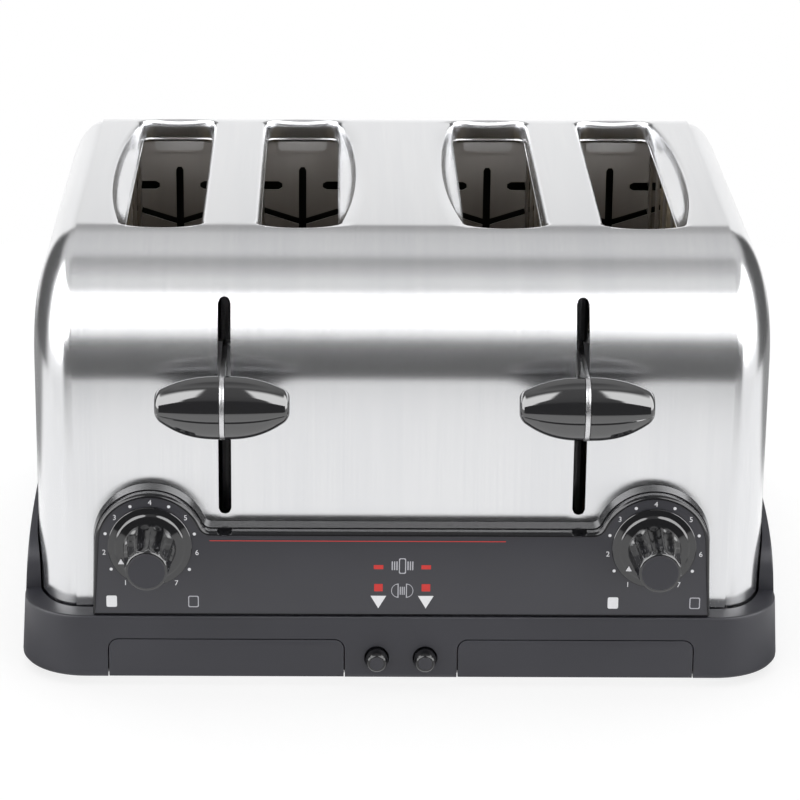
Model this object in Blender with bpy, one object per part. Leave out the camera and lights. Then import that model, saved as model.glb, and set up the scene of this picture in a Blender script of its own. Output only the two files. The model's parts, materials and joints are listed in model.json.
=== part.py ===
"""Four-slot pop-up toaster with two levers, two colour knobs, two bagel buttons and two crumb trays.

Every length below is in metres. Shapes are written in the toaster's own frame: x to the right
as seen from the front, y from front to back with 0 at the middle of the housing, z up with 0 at
the underside of the plastic base. One empty then stands that frame on its rubber feet.
"""

import math

import bmesh
import bpy

MM = 0.001

# General clearances and stock
GAP = 0.3 * MM
SLIDE_GAP = 0.4 * MM
OVERRUN = 5.0 * MM
SHEET = 1.0 * MM
PLATE_SHEET = 1.0 * MM

# Plastic base
BASE_WIDTH = 314.0 * MM
CASE_INSET = 6.3 * MM
CASE_SETBACK = 12.0 * MM
BASE_DEPTH = 276.0 * MM
BASE_RIM_HEIGHT = 27.4 * MM
BASE_SIDE_HEIGHT = 58.0 * MM
BASE_SIDE_END_ROOM = 31.0 * MM
BASE_SIDE_DRAFT = 3.4 * MM
BASE_CORNER = 28.0 * MM
BASE_WALL = 3.0 * MM
BASE_RECESS = 6.0 * MM
BASE_LEDGE = 5.0 * MM
BASE_LEDGE_THICKNESS = 3.0 * MM
BASE_FOOT_ROUND = 2.0 * MM
SIDE_ARCH_POWER = 3.4

# Rubber feet
FOOT_HEIGHT = 4.0 * MM
FOOT_RADIUS = 9.0 * MM
FOOT_TAPER = 1.2 * MM
FOOT_INSET_X = 27.0 * MM
FOOT_INSET_Y = 27.0 * MM
FOOT_RECESS_RADIUS = 3.5 * MM
FOOT_RECESS_DEPTH = 2.0 * MM

# Stainless wrap: front, top and back in one bent sheet
SHELL_TOP = 177.0 * MM
SHOULDER_DEPTH = 43.3 * MM
SHOULDER_DROP = 53.0 * MM

# Stainless end caps
CAP_BULGE = 17.7 * MM
CAP_CORNER_DEPTH = 36.0 * MM
CAP_CORNER_DROP = 44.0 * MM
CAP_TUCK = 5.0 * MM

# Bread slots
GUARD_SETBACK = 1.4 * MM
SLOT_END_ROOM = 41.0 * MM
SLOT_END_DEPTH = 9.0 * MM
SLOT_END_FLARE = 1.2 * MM
LIP_FLARE = 1.7 * MM
LIP_SCOOP = 6.4 * MM
LIP_DEPTH = 8.0 * MM

# Levers
LEVER_SHIFT = 1.35 * MM
LEVER_SLOT_WIDTH = 5.2 * MM
LEVER_SLOT_MARGIN = 0.7 * MM
LEVER_DROP_SHARE = 0.409836
LEVER_LIFT = 20.0 * MM
BLADE_THICKNESS = 1.8 * MM
GRIP_HEIGHT_SHARE = 0.689266
GRIP_HALF_WIDTH = 25.5 * MM
GRIP_HALF_HEIGHT = 12.6 * MM
GRIP_HALF_DEPTH = 8.0 * MM
GRIP_STANDOFF = 25.6 * MM
GRIP_END_HALF_HEIGHT = 4.6 * MM
GRIP_END_HALF_DEPTH = 3.6 * MM
GRIP_LENGTH_SHARES = (0.0, 0.3, 0.55, 0.75, 0.9, 0.98, 1.0)
GRIP_BLUNT_SHARE = 0.8
GRIP_TAPER_POWER = 2.2
GRIP_RIDGE_SHARE = 0.06
GRIP_RIDGE_POWER = 6
BLADE_PROUD = 0.4 * MM
BLADE_NECK_TAPER = 4.5 * MM
BLADE_ABOVE_GRIP = 15.7 * MM
BLADE_BELOW_GRIP = 4.0 * MM
BLADE_NOSE_START = 75

# Control panel
PANEL_INSET = 6.5 * MM
PANEL_TOP = 65.0 * MM
PANEL_WALL = 2.5 * MM
PANEL_DRAFT = 1.6 * MM
PANEL_NOTCH_RADIUS = 4.2 * MM
PANEL_NOTCH_DEPTH = 4.5 * MM
PANEL_BLEND = 5.0 * MM
ARCH_RADIUS = 24.0 * MM
DIAL_INSET = 24.5 * MM
DIAL_HEIGHT = 57.0 * MM
OVERLAY_THICKNESS = 0.4 * MM
OVERLAY_RECESS = 0.9 * MM
OVERLAY_MARGIN = 3.0 * MM

# Colour knobs
SHAFT_RADIUS = 3.0 * MM
SHAFT_CLEARANCE = 0.6 * MM
SKIRT_RADIUS = 16.0 * MM
SKIRT_THICKNESS = 3.2 * MM
SKIRT_BEVEL = 1.8 * MM
KNOB_REACH = 27.0 * MM
KNOB_FOOT_RADIUS = 10.5 * MM
KNOB_FACE_RADIUS = 8.85 * MM
KNOB_FLUTE_DEPTH = 1.2 * MM
KNOB_FACE_ROUND = 1.1 * MM
KNOB_FLUTES = 12
KNOB_LENGTH_SHARES = (0.12, 0.5, 0.84, 0.93)
KNOB_FLUTE_SHARES = (0.9, 1.0, 1.0, 0.0)
KNOB_ROOT_FLUTE_SHARE = 0.6

# Bagel buttons
BUTTON_OFFSET = 9.9 * MM
BUTTON_HEIGHT = 8.6 * MM
BUTTON_RADIUS = 4.7 * MM
BUTTON_FACE_RADIUS = 3.5 * MM
BUTTON_REACH = 7.6 * MM
BUTTON_COLLAR = 5.0 * MM
BUTTON_TRAVEL = 4.0 * MM
SWITCH_WALL = 1.2 * MM
SWITCH_LENGTH = 16.0 * MM

# Crumb trays
TRAY_INNER_X = 22.6 * MM
TRAY_INSET = 12.3 * MM
TRAY_MOUTH_HEIGHT = 17.2 * MM
TRAY_CORNER = 4.5 * MM
TRAY_FRONT_THICKNESS = 2.4 * MM
TRAY_PAN_INSET = 3.4 * MM
TRAY_PAN_HEIGHT = 11.0 * MM
TRAY_SHEET = 0.8 * MM
TRAY_BACK_ROOM = 54.0 * MM

# Bottom plate with its tray guides
BOTTOM_SHEET = 1.2 * MM
BOTTOM_INSET = 0.8 * MM
GUIDE_HEIGHT = 5.0 * MM
GUIDE_THICKNESS = 0.8 * MM

# Toasting chamber
CHAMBER_FLOOR = 18.0 * MM
CHAMBER_TOP_GAP = 0.4 * MM
CHAMBER_SIDE_ROOM = 8.7 * MM
INNER_HEATER_X = 17.9 * MM
MIDDLE_HEATER_ROOM = 3.75 * MM
LEG_END_WIDTH = 3.0 * MM
LEG_CENTRE_HALF_WIDTH = 20.0 * MM
RACK_SLOT_WIDTH = 3.4 * MM
RACK_SLOT_DROP = 13.9 * MM
RACK_SLOT_MARGIN = 5.0 * MM
CROSS_SLOT_DROP = 22.9 * MM
CROSS_SLOT_WIDTH = 4.0 * MM
CROSS_SLOT_INWARD = 8.5 * MM
CROSS_SLOT_OUTWARD = 6.5 * MM
VEE_FOOT_DROP = 40.4 * MM
VEE_SLOPE_SHARE = 0.32
VEE_WIDTH = 3.0 * MM
HANG_TAB_SIDE_ROOM = 6.0 * MM
HANG_TAB_HEIGHT = 7.0 * MM
HANG_TAB_CORNER = 2.0 * MM

# Bread guards
WIRE = 1.8 * MM
GUARD_BOTTOM = 40.0 * MM
GUARD_TOP_GAP = 3.1 * MM
GUARD_END_GAP = 1.9 * MM
GUARD_UPRIGHTS = 4
PIN_REACH = 2.6 * MM
PIN_RISE = 0.365 * MM

# Bread racks
RACK_REST = 88.0 * MM
RACK_HEIGHT = 5.0 * MM
RACK_THICKNESS = 2.0 * MM
RACK_SIDE_ROOM = 6.5 * MM
RACK_RUNG = 2.0 * MM
RACK_RUNGS = 5
RACK_TAIL = 3.0 * MM

# Carriage inside the front compartment
ROD_RADIUS = 3.0 * MM
ROD_SETBACK = 18.5 * MM
ROD_END = 3.0 * MM
ROD_CLEARANCE = 0.3 * MM
SLIDER_HALF = 6.0 * MM
SLIDER_BELOW_GRIP = 10.0 * MM
SLIDER_ABOVE_GRIP = 15.0 * MM
BAR_SETBACK = 29.0 * MM
BAR_THICKNESS = 3.0 * MM
BAR_BELOW_GRIP = 3.0 * MM
BAR_ABOVE_GRIP = 8.0 * MM
ARM_HALF_WIDTH = 2.5 * MM
LUG_SHEET = 1.5 * MM
LUG_MARGIN = 5.0 * MM
LUG_LIP = 1.5 * MM
LUG_STOP_GAP = 1.0 * MM
LUG_BELOW_MAGNET = 6.0 * MM
SPRING_OFFSET = 14.0 * MM
SPRING_RADIUS = 3.4 * MM
SPRING_WIRE = 1.0 * MM
SPRING_TURNS = 7
SPRING_STEPS = 8
MAGNET_HALF_WIDTH = 10.0 * MM
MAGNET_HEIGHT = 22.5 * MM
MAGNET_AIR_GAP = 1.5 * MM
MAGNET_DEPTH = 16.0 * MM
MAGNET_CORE_HALF_WIDTH = 4.0 * MM
MAGNET_CORE_RISE = 1.0 * MM

# Heaters
MICA = 1.6 * MM
GUARD_ROOM = 3.8 * MM
HEATER_BOTTOM = 37.0 * MM
HEATER_TOP_GAP = 8.6 * MM
RIBBON = 0.5 * MM
RIBBON_WIDTH = 3.0 * MM
RIBBON_TURNS = 4

# Timer boards and potentiometers behind the panel
POT_RADIUS = 8.0 * MM
POT_DEPTH = 8.0 * MM
BOARD_THICKNESS = 1.6 * MM
BOARD_HALF_WIDTH = 19.0 * MM
BOARD_BOTTOM = 34.0 * MM
BOARD_TOP = 80.0 * MM

# Cord inlet bush at the back
INLET_INSET = 10.0 * MM
INLET_HEIGHT = 11.0 * MM
INLET_RADIUS = 6.5 * MM
INLET_FLANGE = 9.0 * MM
INLET_REACH = 6.0 * MM
INLET_LIP = 2.5 * MM
INLET_BORE = 4.2 * MM

# How finely round shapes are faceted
ROUND_STEPS = 22
SMALL_STEPS = 12
ARCH_STEPS = 16
SLOT_END_STEPS = 3
SHOULDER_STEPS = 9
CORNER_STEPS = 5
CAP_STEPS = 4
END_STEPS = 6
LIP_STEPS = 4
BLEND_STEPS = 3

# Worked out from the sizes above
BASE_HALF_X = BASE_WIDTH / 2
BASE_HALF_Y = BASE_DEPTH / 2
SHELL_HALF_X = BASE_HALF_X - CASE_INSET - CAP_BULGE
SHELL_HALF_Y = BASE_HALF_Y - CASE_SETBACK
SLOT_HALF_LENGTH = SHELL_HALF_Y - SLOT_END_ROOM
BASE_SIDE_HALF_LENGTH = BASE_HALF_Y - BASE_SIDE_END_ROOM
TRAY_LENGTH = BASE_DEPTH - TRAY_BACK_ROOM
RIM_DRAFT = BASE_SIDE_DRAFT * BASE_RIM_HEIGHT / BASE_SIDE_HEIGHT
PANEL_FRONT = -BASE_HALF_Y + RIM_DRAFT
OVERLAY_FRONT = PANEL_FRONT + OVERLAY_RECESS - OVERLAY_THICKNESS
LEDGE_TOP = BASE_RIM_HEIGHT - BASE_RECESS
HOUSING_BOTTOM = LEDGE_TOP + GAP
BOTTOM_TOP = BOTTOM_INSET + BOTTOM_SHEET
CHAMBER_TOP = SHELL_TOP - LIP_DEPTH - CHAMBER_TOP_GAP
CHAMBER_HALF_LENGTH = SLOT_HALF_LENGTH + SHEET + SLIDE_GAP
CHAMBER_HALF_WIDTH = SHELL_HALF_X - CHAMBER_SIDE_ROOM
OUTER_HEATER_X = CHAMBER_HALF_WIDTH - RIBBON - MICA / 2
PAIR_OFFSET = (OUTER_HEATER_X + INNER_HEATER_X) / 2
HEATER_REACH = (OUTER_HEATER_X - INNER_HEATER_X) / 2
HEATER_OFFSET = (HEATER_REACH - MIDDLE_HEATER_ROOM) / 2
SLOT_PITCH = 2 * (HEATER_REACH - HEATER_OFFSET)
GUARD_INNER = HEATER_OFFSET - MICA / 2 - RIBBON - GUARD_ROOM - WIRE
SLOT_HALF_WIDTH = GUARD_INNER - GUARD_SETBACK
RACK_HALF_WIDTH = GUARD_INNER - RACK_SIDE_ROOM
HANG_TAB_HALF_WIDTH = GUARD_INNER - HANG_TAB_SIDE_ROOM
CROSS_SLOT_START = GUARD_INNER - CROSS_SLOT_INWARD
CROSS_SLOT_END = GUARD_INNER + CROSS_SLOT_OUTWARD
LEVER_OFFSET = PAIR_OFFSET + LEVER_SHIFT
PANEL_HALF_WIDTH = SHELL_HALF_X - PANEL_INSET
DIAL_OFFSET = PANEL_HALF_WIDTH - DIAL_INSET
INLET_OFFSET = DIAL_OFFSET - INLET_INSET
TRAY_OUTER_X = SHELL_HALF_X - TRAY_INSET
FRONT_PLATE_FACE = -CHAMBER_HALF_LENGTH - PLATE_SHEET
GRIP_HEIGHT = SHELL_TOP * GRIP_HEIGHT_SHARE
LEVER_DROP = GRIP_HEIGHT * LEVER_DROP_SHARE
BLADE_TOP = GRIP_HEIGHT + BLADE_ABOVE_GRIP
BLADE_BOTTOM = GRIP_HEIGHT - BLADE_BELOW_GRIP
LEVER_SLOT_TOP = BLADE_TOP + LEVER_LIFT + LEVER_SLOT_MARGIN
LEVER_SLOT_BOTTOM = BLADE_BOTTOM - LEVER_DROP - LEVER_SLOT_MARGIN
SLIDER_TOP = GRIP_HEIGHT + SLIDER_ABOVE_GRIP
SLIDER_BOTTOM = GRIP_HEIGHT - SLIDER_BELOW_GRIP
BAR_TOP = GRIP_HEIGHT + BAR_ABOVE_GRIP
BAR_BOTTOM = GRIP_HEIGHT - BAR_BELOW_GRIP
UPPER_LUG = SLIDER_TOP + LEVER_LIFT + LUG_STOP_GAP
ROD_TOP = UPPER_LUG + LUG_SHEET + ROD_END / 2
MAGNET_TOP = SLIDER_BOTTOM - LEVER_DROP - MAGNET_AIR_GAP
MAGNET_BOTTOM = MAGNET_TOP - MAGNET_HEIGHT
LOWER_LUG = MAGNET_BOTTOM - LUG_BELOW_MAGNET
ROD_BOTTOM = LOWER_LUG - ROD_END
RACK_SLOT_TOP = CHAMBER_TOP - RACK_SLOT_DROP
RACK_SLOT_BOTTOM = RACK_REST - LEVER_DROP - RACK_SLOT_MARGIN
CROSS_SLOT_HEIGHT = CHAMBER_TOP - CROSS_SLOT_DROP
VEE_FOOT_HEIGHT = CHAMBER_TOP - VEE_FOOT_DROP
GUARD_TOP = CHAMBER_TOP - GUARD_TOP_GAP
HEATER_TOP = CHAMBER_TOP - HEATER_TOP_GAP
ROD_Y = -SHELL_HALF_Y + ROD_SETBACK
BAR_FRONT = -SHELL_HALF_Y + BAR_SETBACK
GRIP_Y = -SHELL_HALF_Y - GRIP_STANDOFF
MID_Y = (KNOB_REACH - OVERLAY_FRONT - BASE_HALF_Y - INLET_REACH) / 2
SIDES = {"left": -1, "right": 1}


def slot_centres():
    """The four bread slots from left to right: (number, centre x, side that the scoop is on, side)."""
    rows = []
    for side in (-1, 1):
        for scoop in (-1, 1):
            number = len(rows) + 1
            rows.append((number, side * PAIR_OFFSET + scoop * SLOT_PITCH / 2, scoop, side))
    return rows


# Scene and materials

def clear_scene():
    for obj in list(bpy.data.objects):
        bpy.data.objects.remove(obj, do_unlink=True)


def material(name, colour, roughness, metallic):
    made = bpy.data.materials.new(name)
    made.use_nodes = True
    shader = made.node_tree.nodes["Principled BSDF"]
    shader.inputs["Base Color"].default_value = (*colour, 1.0)
    shader.inputs["Roughness"].default_value = roughness
    shader.inputs["Metallic"].default_value = metallic
    made.diffuse_color = (*colour, 1.0)
    return made


# Outlines: lists of (a, b) points, counter-clockwise

def arc(centre, radii, start, end, steps):
    """Points on an ellipse's arc, angles in degrees."""
    points = []
    for i in range(steps + 1):
        angle = math.radians(start + (end - start) * i / steps)
        points.append((centre[0] + radii[0] * math.cos(angle), centre[1] + radii[1] * math.sin(angle)))
    return points


def circle(centre, radius, steps):
    return arc(centre, (radius, radius), 0, 360, steps)[:-1]


def box_outline(low, high):
    return [(low[0], low[1]), (high[0], low[1]), (high[0], high[1]), (low[0], high[1])]


def rounded_box(half, radii, steps, centre=(0, 0)):
    """A box's outline about a centre, with elliptical corners."""
    points = []
    for quarter, (sx, sy) in enumerate(((1, 1), (-1, 1), (-1, -1), (1, -1))):
        middle = (centre[0] + sx * (half[0] - radii[0]), centre[1] + sy * (half[1] - radii[1]))
        points += arc(middle, radii, 90 * quarter, 90 * quarter + 90, steps)
    return points


def stadium(a, b, radius, steps):
    """The outline of a slot with round ends, whose end centres are a and b."""
    heading = math.degrees(math.atan2(b[1] - a[1], b[0] - a[0]))
    first = arc(a, (radius, radius), heading + 90, heading + 270, steps)
    return first + arc(b, (radius, radius), heading - 90, heading + 90, steps)


# Solids

def to_object(name, bm, mat=None):
    bmesh.ops.recalc_face_normals(bm, faces=bm.faces)
    mesh = bpy.data.meshes.new(name)
    bm.to_mesh(mesh)
    bm.free()
    obj = bpy.data.objects.new(name, mesh)
    bpy.context.scene.collection.objects.link(obj)
    if mat:
        mesh.materials.append(mat)
    return obj


def loft(name, rings, mat=None, closed=False):
    """A solid through rings of as many points each, capped at both ends or closed into a loop."""
    bm = bmesh.new()
    rows = [[bm.verts.new(point) for point in ring] for ring in rings]
    count = len(rows[0])
    pairs = list(zip(rows, rows[1:]))
    if closed:
        pairs.append((rows[-1], rows[0]))
    for low, high in pairs:
        for i in range(count):
            j = (i + 1) % count
            bm.faces.new((low[i], low[j], high[j], high[i]))
    if not closed:
        bm.faces.new(rows[0])
        bm.faces.new(rows[-1])
    return to_object(name, bm, mat)


def prism(name, outline, axis, low, high, mat=None):
    """An outline drawn across an axis and extruded along it from low to high."""
    if axis == "X":
        rings = [[(at, a, b) for a, b in outline] for at in (low, high)]
    elif axis == "Y":
        rings = [[(a, at, b) for a, b in outline] for at in (low, high)]
    else:
        rings = [[(a, b, at) for a, b in outline] for at in (low, high)]
    return loft(name, rings, mat)


def block(name, low, high, mat=None):
    return prism(name, box_outline(low[:2], high[:2]), "Z", low[2], high[2], mat)


def turned(name, profile, steps, mat=None, closed=False):
    """A solid turned about the Y axis from (radius, y) points."""
    rings = [[(r * math.cos(t), y, r * math.sin(t)) for t in angles(steps)] for r, y in profile]
    return loft(name, rings, mat, closed)


def angles(steps):
    return [2 * math.pi * i / steps for i in range(steps)]


def boolean(target, other, operation):
    """Applies one exact Boolean to the target and removes the other object."""
    modifier = target.modifiers.new("boolean", "BOOLEAN")
    modifier.solver = "EXACT"
    modifier.operation = operation
    modifier.object = other
    graph = bpy.context.evaluated_depsgraph_get()
    result = bpy.data.meshes.new_from_object(target.evaluated_get(graph))
    target.modifiers.clear()
    old = target.data
    target.data = result
    bpy.data.meshes.remove(old)
    bpy.data.objects.remove(other, do_unlink=True)
    return target


def cut(target, *others):
    for other in others:
        boolean(target, other, "DIFFERENCE")
    return target


def join(target, *others):
    for other in others:
        boolean(target, other, "UNION")
    return target


def shift(obj, x, y, z):
    for vertex in obj.data.vertices:
        vertex.co.x += x
        vertex.co.y += y
        vertex.co.z += z
    return obj


# Base

def side_arch_outline():
    """The base seen from the side: a low rim at front and back, side walls as a superellipse."""
    rise = BASE_SIDE_HEIGHT - BASE_RIM_HEIGHT
    reach = BASE_HALF_Y + OVERRUN
    points = [(-reach, -OVERRUN), (reach, -OVERRUN), (reach, BASE_RIM_HEIGHT)]
    for i in range(ROUND_STEPS + 1):
        angle = math.pi * i / ROUND_STEPS
        c, s = math.cos(angle), math.sin(angle)
        y = BASE_SIDE_HALF_LENGTH * math.copysign(abs(c) ** (2 / SIDE_ARCH_POWER), c)
        points.append((y, BASE_RIM_HEIGHT + rise * s ** (2 / SIDE_ARCH_POWER)))
    points.append((-reach, BASE_RIM_HEIGHT))
    return points


def base_ring(height, inset):
    """The base's plan outline at a height, drawn in by its draft and by an inset."""
    drawn_in = inset + BASE_SIDE_DRAFT * height / BASE_SIDE_HEIGHT
    radius = BASE_CORNER - inset
    outline = rounded_box((BASE_HALF_X - drawn_in, BASE_HALF_Y - drawn_in), (radius, radius), CORNER_STEPS)
    return [(x, y, height) for x, y in outline]


def case_outline(offset):
    """The plan outline of wrap and end caps together, moved out by an offset."""
    half = (SHELL_HALF_X + CAP_BULGE + offset, SHELL_HALF_Y + offset)
    return rounded_box(half, (CAP_BULGE + offset, CAP_CORNER_DEPTH + offset), CORNER_STEPS)


def make_base(mat):
    low = base_ring(BASE_FOOT_ROUND, 0)
    foot = [(x, y, 0) for x, y, _ in base_ring(0, BASE_FOOT_ROUND / 2)]
    base = loft("base", [foot, low, base_ring(BASE_SIDE_HEIGHT + OVERRUN, 0)], mat)
    side = prism("side", side_arch_outline(), "X", -BASE_WIDTH, BASE_WIDTH)
    boolean(base, side, "INTERSECT")
    ledge_bottom = LEDGE_TOP - BASE_LEDGE_THICKNESS
    cut(base, loft("cavity", [base_ring(-OVERRUN, BASE_WALL), base_ring(ledge_bottom, BASE_WALL)]))
    cut(base, prism("well", case_outline(-BASE_LEDGE), "Z", 0, LEDGE_TOP + OVERRUN))
    cut(base, prism("recess", case_outline(2 * GAP), "Z", LEDGE_TOP, BASE_SIDE_HEIGHT + 2 * OVERRUN))
    front = -BASE_HALF_Y - OVERRUN
    for side in SIDES.values():
        cut(base, prism("mouth", tray_front_outline(side, 0), "Y", front, front + 2 * OVERRUN + BASE_WALL))
        hole = circle((side * BUTTON_OFFSET, BUTTON_HEIGHT), BUTTON_RADIUS + SLIDE_GAP, SMALL_STEPS)
        cut(base, prism("hole", hole, "Y", front, front + 2 * OVERRUN + BASE_WALL))
    hole = circle((INLET_OFFSET, INLET_HEIGHT), INLET_RADIUS + GAP, SMALL_STEPS)
    cut(base, prism("hole", hole, "Y", BASE_HALF_Y - BASE_WALL - OVERRUN, BASE_HALF_Y + OVERRUN))
    return base


def make_foot(name, x, y, mat):
    profile = [(FOOT_RECESS_RADIUS, -FOOT_HEIGHT + FOOT_RECESS_DEPTH), (FOOT_RECESS_RADIUS, -FOOT_HEIGHT),
               (FOOT_RADIUS - FOOT_TAPER, -FOOT_HEIGHT), (FOOT_RADIUS, BOTTOM_INSET - GAP)]
    rings = [[(r * math.cos(t), r * math.sin(t), z) for t in angles(SMALL_STEPS)] for r, z in profile]
    return shift(loft(name, rings, mat), x, y, 0)


def make_bottom_plate(mat):
    inset = BASE_WALL + SLIDE_GAP + BASE_SIDE_DRAFT * BOTTOM_TOP / BASE_SIDE_HEIGHT
    radius = BASE_CORNER - inset
    outline = rounded_box((BASE_HALF_X - inset, BASE_HALF_Y - inset), (radius, radius), CORNER_STEPS)
    plate = prism("bottom_plate", outline, "Z", BOTTOM_INSET, BOTTOM_TOP, mat)
    start = -BASE_HALF_Y + 2 * BASE_WALL + SWITCH_LENGTH
    for side in SIDES.values():
        for x in (tray_pan(side)[0], tray_pan(side)[1]):
            outward = 1 if abs(x) > abs(PAIR_OFFSET) else -1
            near = abs(x) + outward * SLIDE_GAP
            far = near + outward * GUIDE_THICKNESS
            low, high = sorted((side * near, side * far))
            guide = block("guide", (low, start, BOTTOM_INSET + BOTTOM_SHEET / 2),
                          (high, CHAMBER_HALF_LENGTH - PLATE_SHEET, BOTTOM_TOP + GUIDE_HEIGHT))
            join(plate, guide)
    return plate


def make_inlet(mat):
    back = BASE_HALF_Y - BASE_SIDE_DRAFT * INLET_HEIGHT / BASE_SIDE_HEIGHT
    inside = back - BASE_WALL - INLET_LIP
    profile = [(INLET_BORE, inside), (INLET_RADIUS, inside), (INLET_RADIUS, back + 2 * GAP),
               (INLET_FLANGE, back + 2 * GAP), (INLET_FLANGE, BASE_HALF_Y + INLET_LIP),
               (INLET_RADIUS, BASE_HALF_Y + INLET_REACH), (INLET_BORE, BASE_HALF_Y + INLET_REACH)]
    return shift(turned("cord_inlet", profile, SMALL_STEPS, mat, closed=True), INLET_OFFSET, 0, INLET_HEIGHT)


# Wrap and end caps

def profile_points(front, top, radii, bottom):
    """The open side profile: up the front, over both shoulders and down the back."""
    points = [(-front, bottom)]
    points += arc((-front + radii[0], top - radii[1]), radii, 180, 90, SHOULDER_STEPS)
    points += arc((front - radii[0], top - radii[1]), radii, 90, 0, SHOULDER_STEPS)
    return points + [(front, bottom)]


def housing_profile(inset, bottom):
    radii = (SHOULDER_DEPTH - inset, SHOULDER_DROP - inset)
    return profile_points(SHELL_HALF_Y - inset, SHELL_TOP - inset, radii, bottom)


def slot_outline(scoop, flare, offset):
    """A bread slot's plan outline about its centre: straight on one side, bowed on the scooped side.

    flare runs from 0 at the lip's foot to 1 at the top sheet. Each end is half an ellipse.
    """
    half = SLOT_HALF_WIDTH + LIP_FLARE * flare + offset
    length = SLOT_HALF_LENGTH + SLOT_END_FLARE * flare + offset
    straight = SLOT_HALF_LENGTH - SLOT_END_DEPTH
    points = []
    for end in (1, -1):
        for x, y in arc((0, 0), (half, length - straight), 0, 180, END_STEPS):
            points.append([end * x, end * (y + straight)])
        if end * scoop < 0:
            for i in range(END_STEPS - 1, -END_STEPS, -1):
                points.append([-end * half, end * straight * i / END_STEPS])
    bow = (LIP_SCOOP - LIP_FLARE) * flare
    outline = []
    for x, y in points:
        if x * scoop > 0 and abs(y) < straight:
            x += scoop * bow * (1 - (y / straight) ** 2)
        outline.append((x, y))
    return outline


def lip(name, centre, scoop, offset, top, overrun):
    """The drawn lip as a solid: each level follows a quarter ellipse from the top sheet down."""
    rings = []
    if overrun:
        rings.append([(x + centre, y, top + overrun) for x, y in slot_outline(scoop, 1, offset)])
    for i in range(LIP_STEPS + 1):
        angle = math.pi / 2 * i / LIP_STEPS
        z = min(top, SHELL_TOP - LIP_DEPTH * (1 - math.cos(angle)))
        rings.append([(x + centre, y, z) for x, y in slot_outline(scoop, 1 - math.sin(angle), offset)])
    if overrun:
        foot = SHELL_TOP - LIP_DEPTH - overrun
        rings.append([(x + centre, y, foot) for x, y in slot_outline(scoop, 0, offset)])
    return loft(name, rings)


def make_shell(mat):
    outer = housing_profile(0, HOUSING_BOTTOM)
    inner = housing_profile(SHEET, HOUSING_BOTTOM)
    shell = prism("shell", outer + inner[::-1], "X", -SHELL_HALF_X, SHELL_HALF_X, mat)
    for _, centre, scoop, _ in slot_centres():
        join(shell, lip("lip", centre, scoop, SHEET, SHELL_TOP - SHEET / 2, 0))
    for _, centre, scoop, _ in slot_centres():
        cut(shell, lip("mouth", centre, scoop, 0, SHELL_TOP, OVERRUN))
    radius = LEVER_SLOT_WIDTH / 2
    for side in SIDES.values():
        x = side * LEVER_OFFSET
        ends = (x, LEVER_SLOT_BOTTOM + radius), (x, LEVER_SLOT_TOP - radius)
        cut(shell, prism("slot", stadium(*ends, radius, CORNER_STEPS), "Y", -SHELL_HALF_Y - OVERRUN,
                         -SHELL_HALF_Y + SHOULDER_DEPTH))
        hole = circle((side * DIAL_OFFSET, DIAL_HEIGHT), SHAFT_RADIUS + SHAFT_CLEARANCE, SMALL_STEPS)
        cut(shell, prism("hole", hole, "Y", -SHELL_HALF_Y - OVERRUN, -SHELL_HALF_Y + OVERRUN))
    return shell


def cap_solid(name, side, wall, tuck, bottom):
    """An end cap's outside as a solid: profiles that draw in along quarter ellipses as x grows."""
    rings = []
    seat = SHEET + GAP + wall
    steps = [(SHELL_HALF_X - tuck, 0)]
    for i in range(CAP_STEPS + 1):
        angle = math.pi / 2 * i / CAP_STEPS
        steps.append((SHELL_HALF_X + (CAP_BULGE - wall) * math.sin(angle), 1 - math.cos(angle)))
    for x, share in steps:
        front = SHELL_HALF_Y - seat - (CAP_CORNER_DEPTH - seat) * share
        top = SHELL_TOP - seat - (CAP_CORNER_DROP - seat) * share
        radii = (SHOULDER_DEPTH - seat - (CAP_CORNER_DEPTH - seat) * share,
                 SHOULDER_DROP - seat - (CAP_CORNER_DROP - seat) * share)
        rings.append([(side * x, y, z) for y, z in profile_points(front, top, radii, bottom)])
    return rings


def make_cap(word, side, mat):
    cap = loft(f"end_cap_{word}", cap_solid("cap", side, 0, CAP_TUCK, HOUSING_BOTTOM), mat)
    hollow = cap_solid("hollow", side, SHEET, CAP_TUCK + OVERRUN, HOUSING_BOTTOM - OVERRUN)
    return cut(cap, loft("hollow", hollow))


# Control panel and what it carries

def panel_outline(inset):
    """The panel seen from the front: a low band with an arch round each dial and a blend between."""
    radius = ARCH_RADIUS - inset
    half = PANEL_HALF_WIDTH - inset
    top = PANEL_TOP - inset
    bottom = BASE_RIM_HEIGHT + GAP + inset
    blend = PANEL_BLEND + inset
    meet = math.degrees(math.asin((top + blend - DIAL_HEIGHT) / (radius + blend)))
    outer = math.degrees(math.acos(min(1.0, (half - DIAL_OFFSET) / radius)))
    foot = DIAL_OFFSET - (radius + blend) * math.cos(math.radians(meet))
    right = arc((DIAL_OFFSET, DIAL_HEIGHT), (radius, radius), outer, 180 - meet, ARCH_STEPS)
    right += arc((foot, top + blend), (blend, blend), -meet, -90, BLEND_STEPS)[1:]
    left = [(-x, z) for x, z in right[::-1]]
    return [(-half, bottom), (half, bottom)] + right + left


def panel_shaft_hole(name, side):
    hole = circle((side * DIAL_OFFSET, DIAL_HEIGHT), SHAFT_RADIUS + SHAFT_CLEARANCE, SMALL_STEPS)
    return prism(name, hole, "Y", -BASE_HALF_Y - OVERRUN, -SHELL_HALF_Y + OVERRUN)


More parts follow.
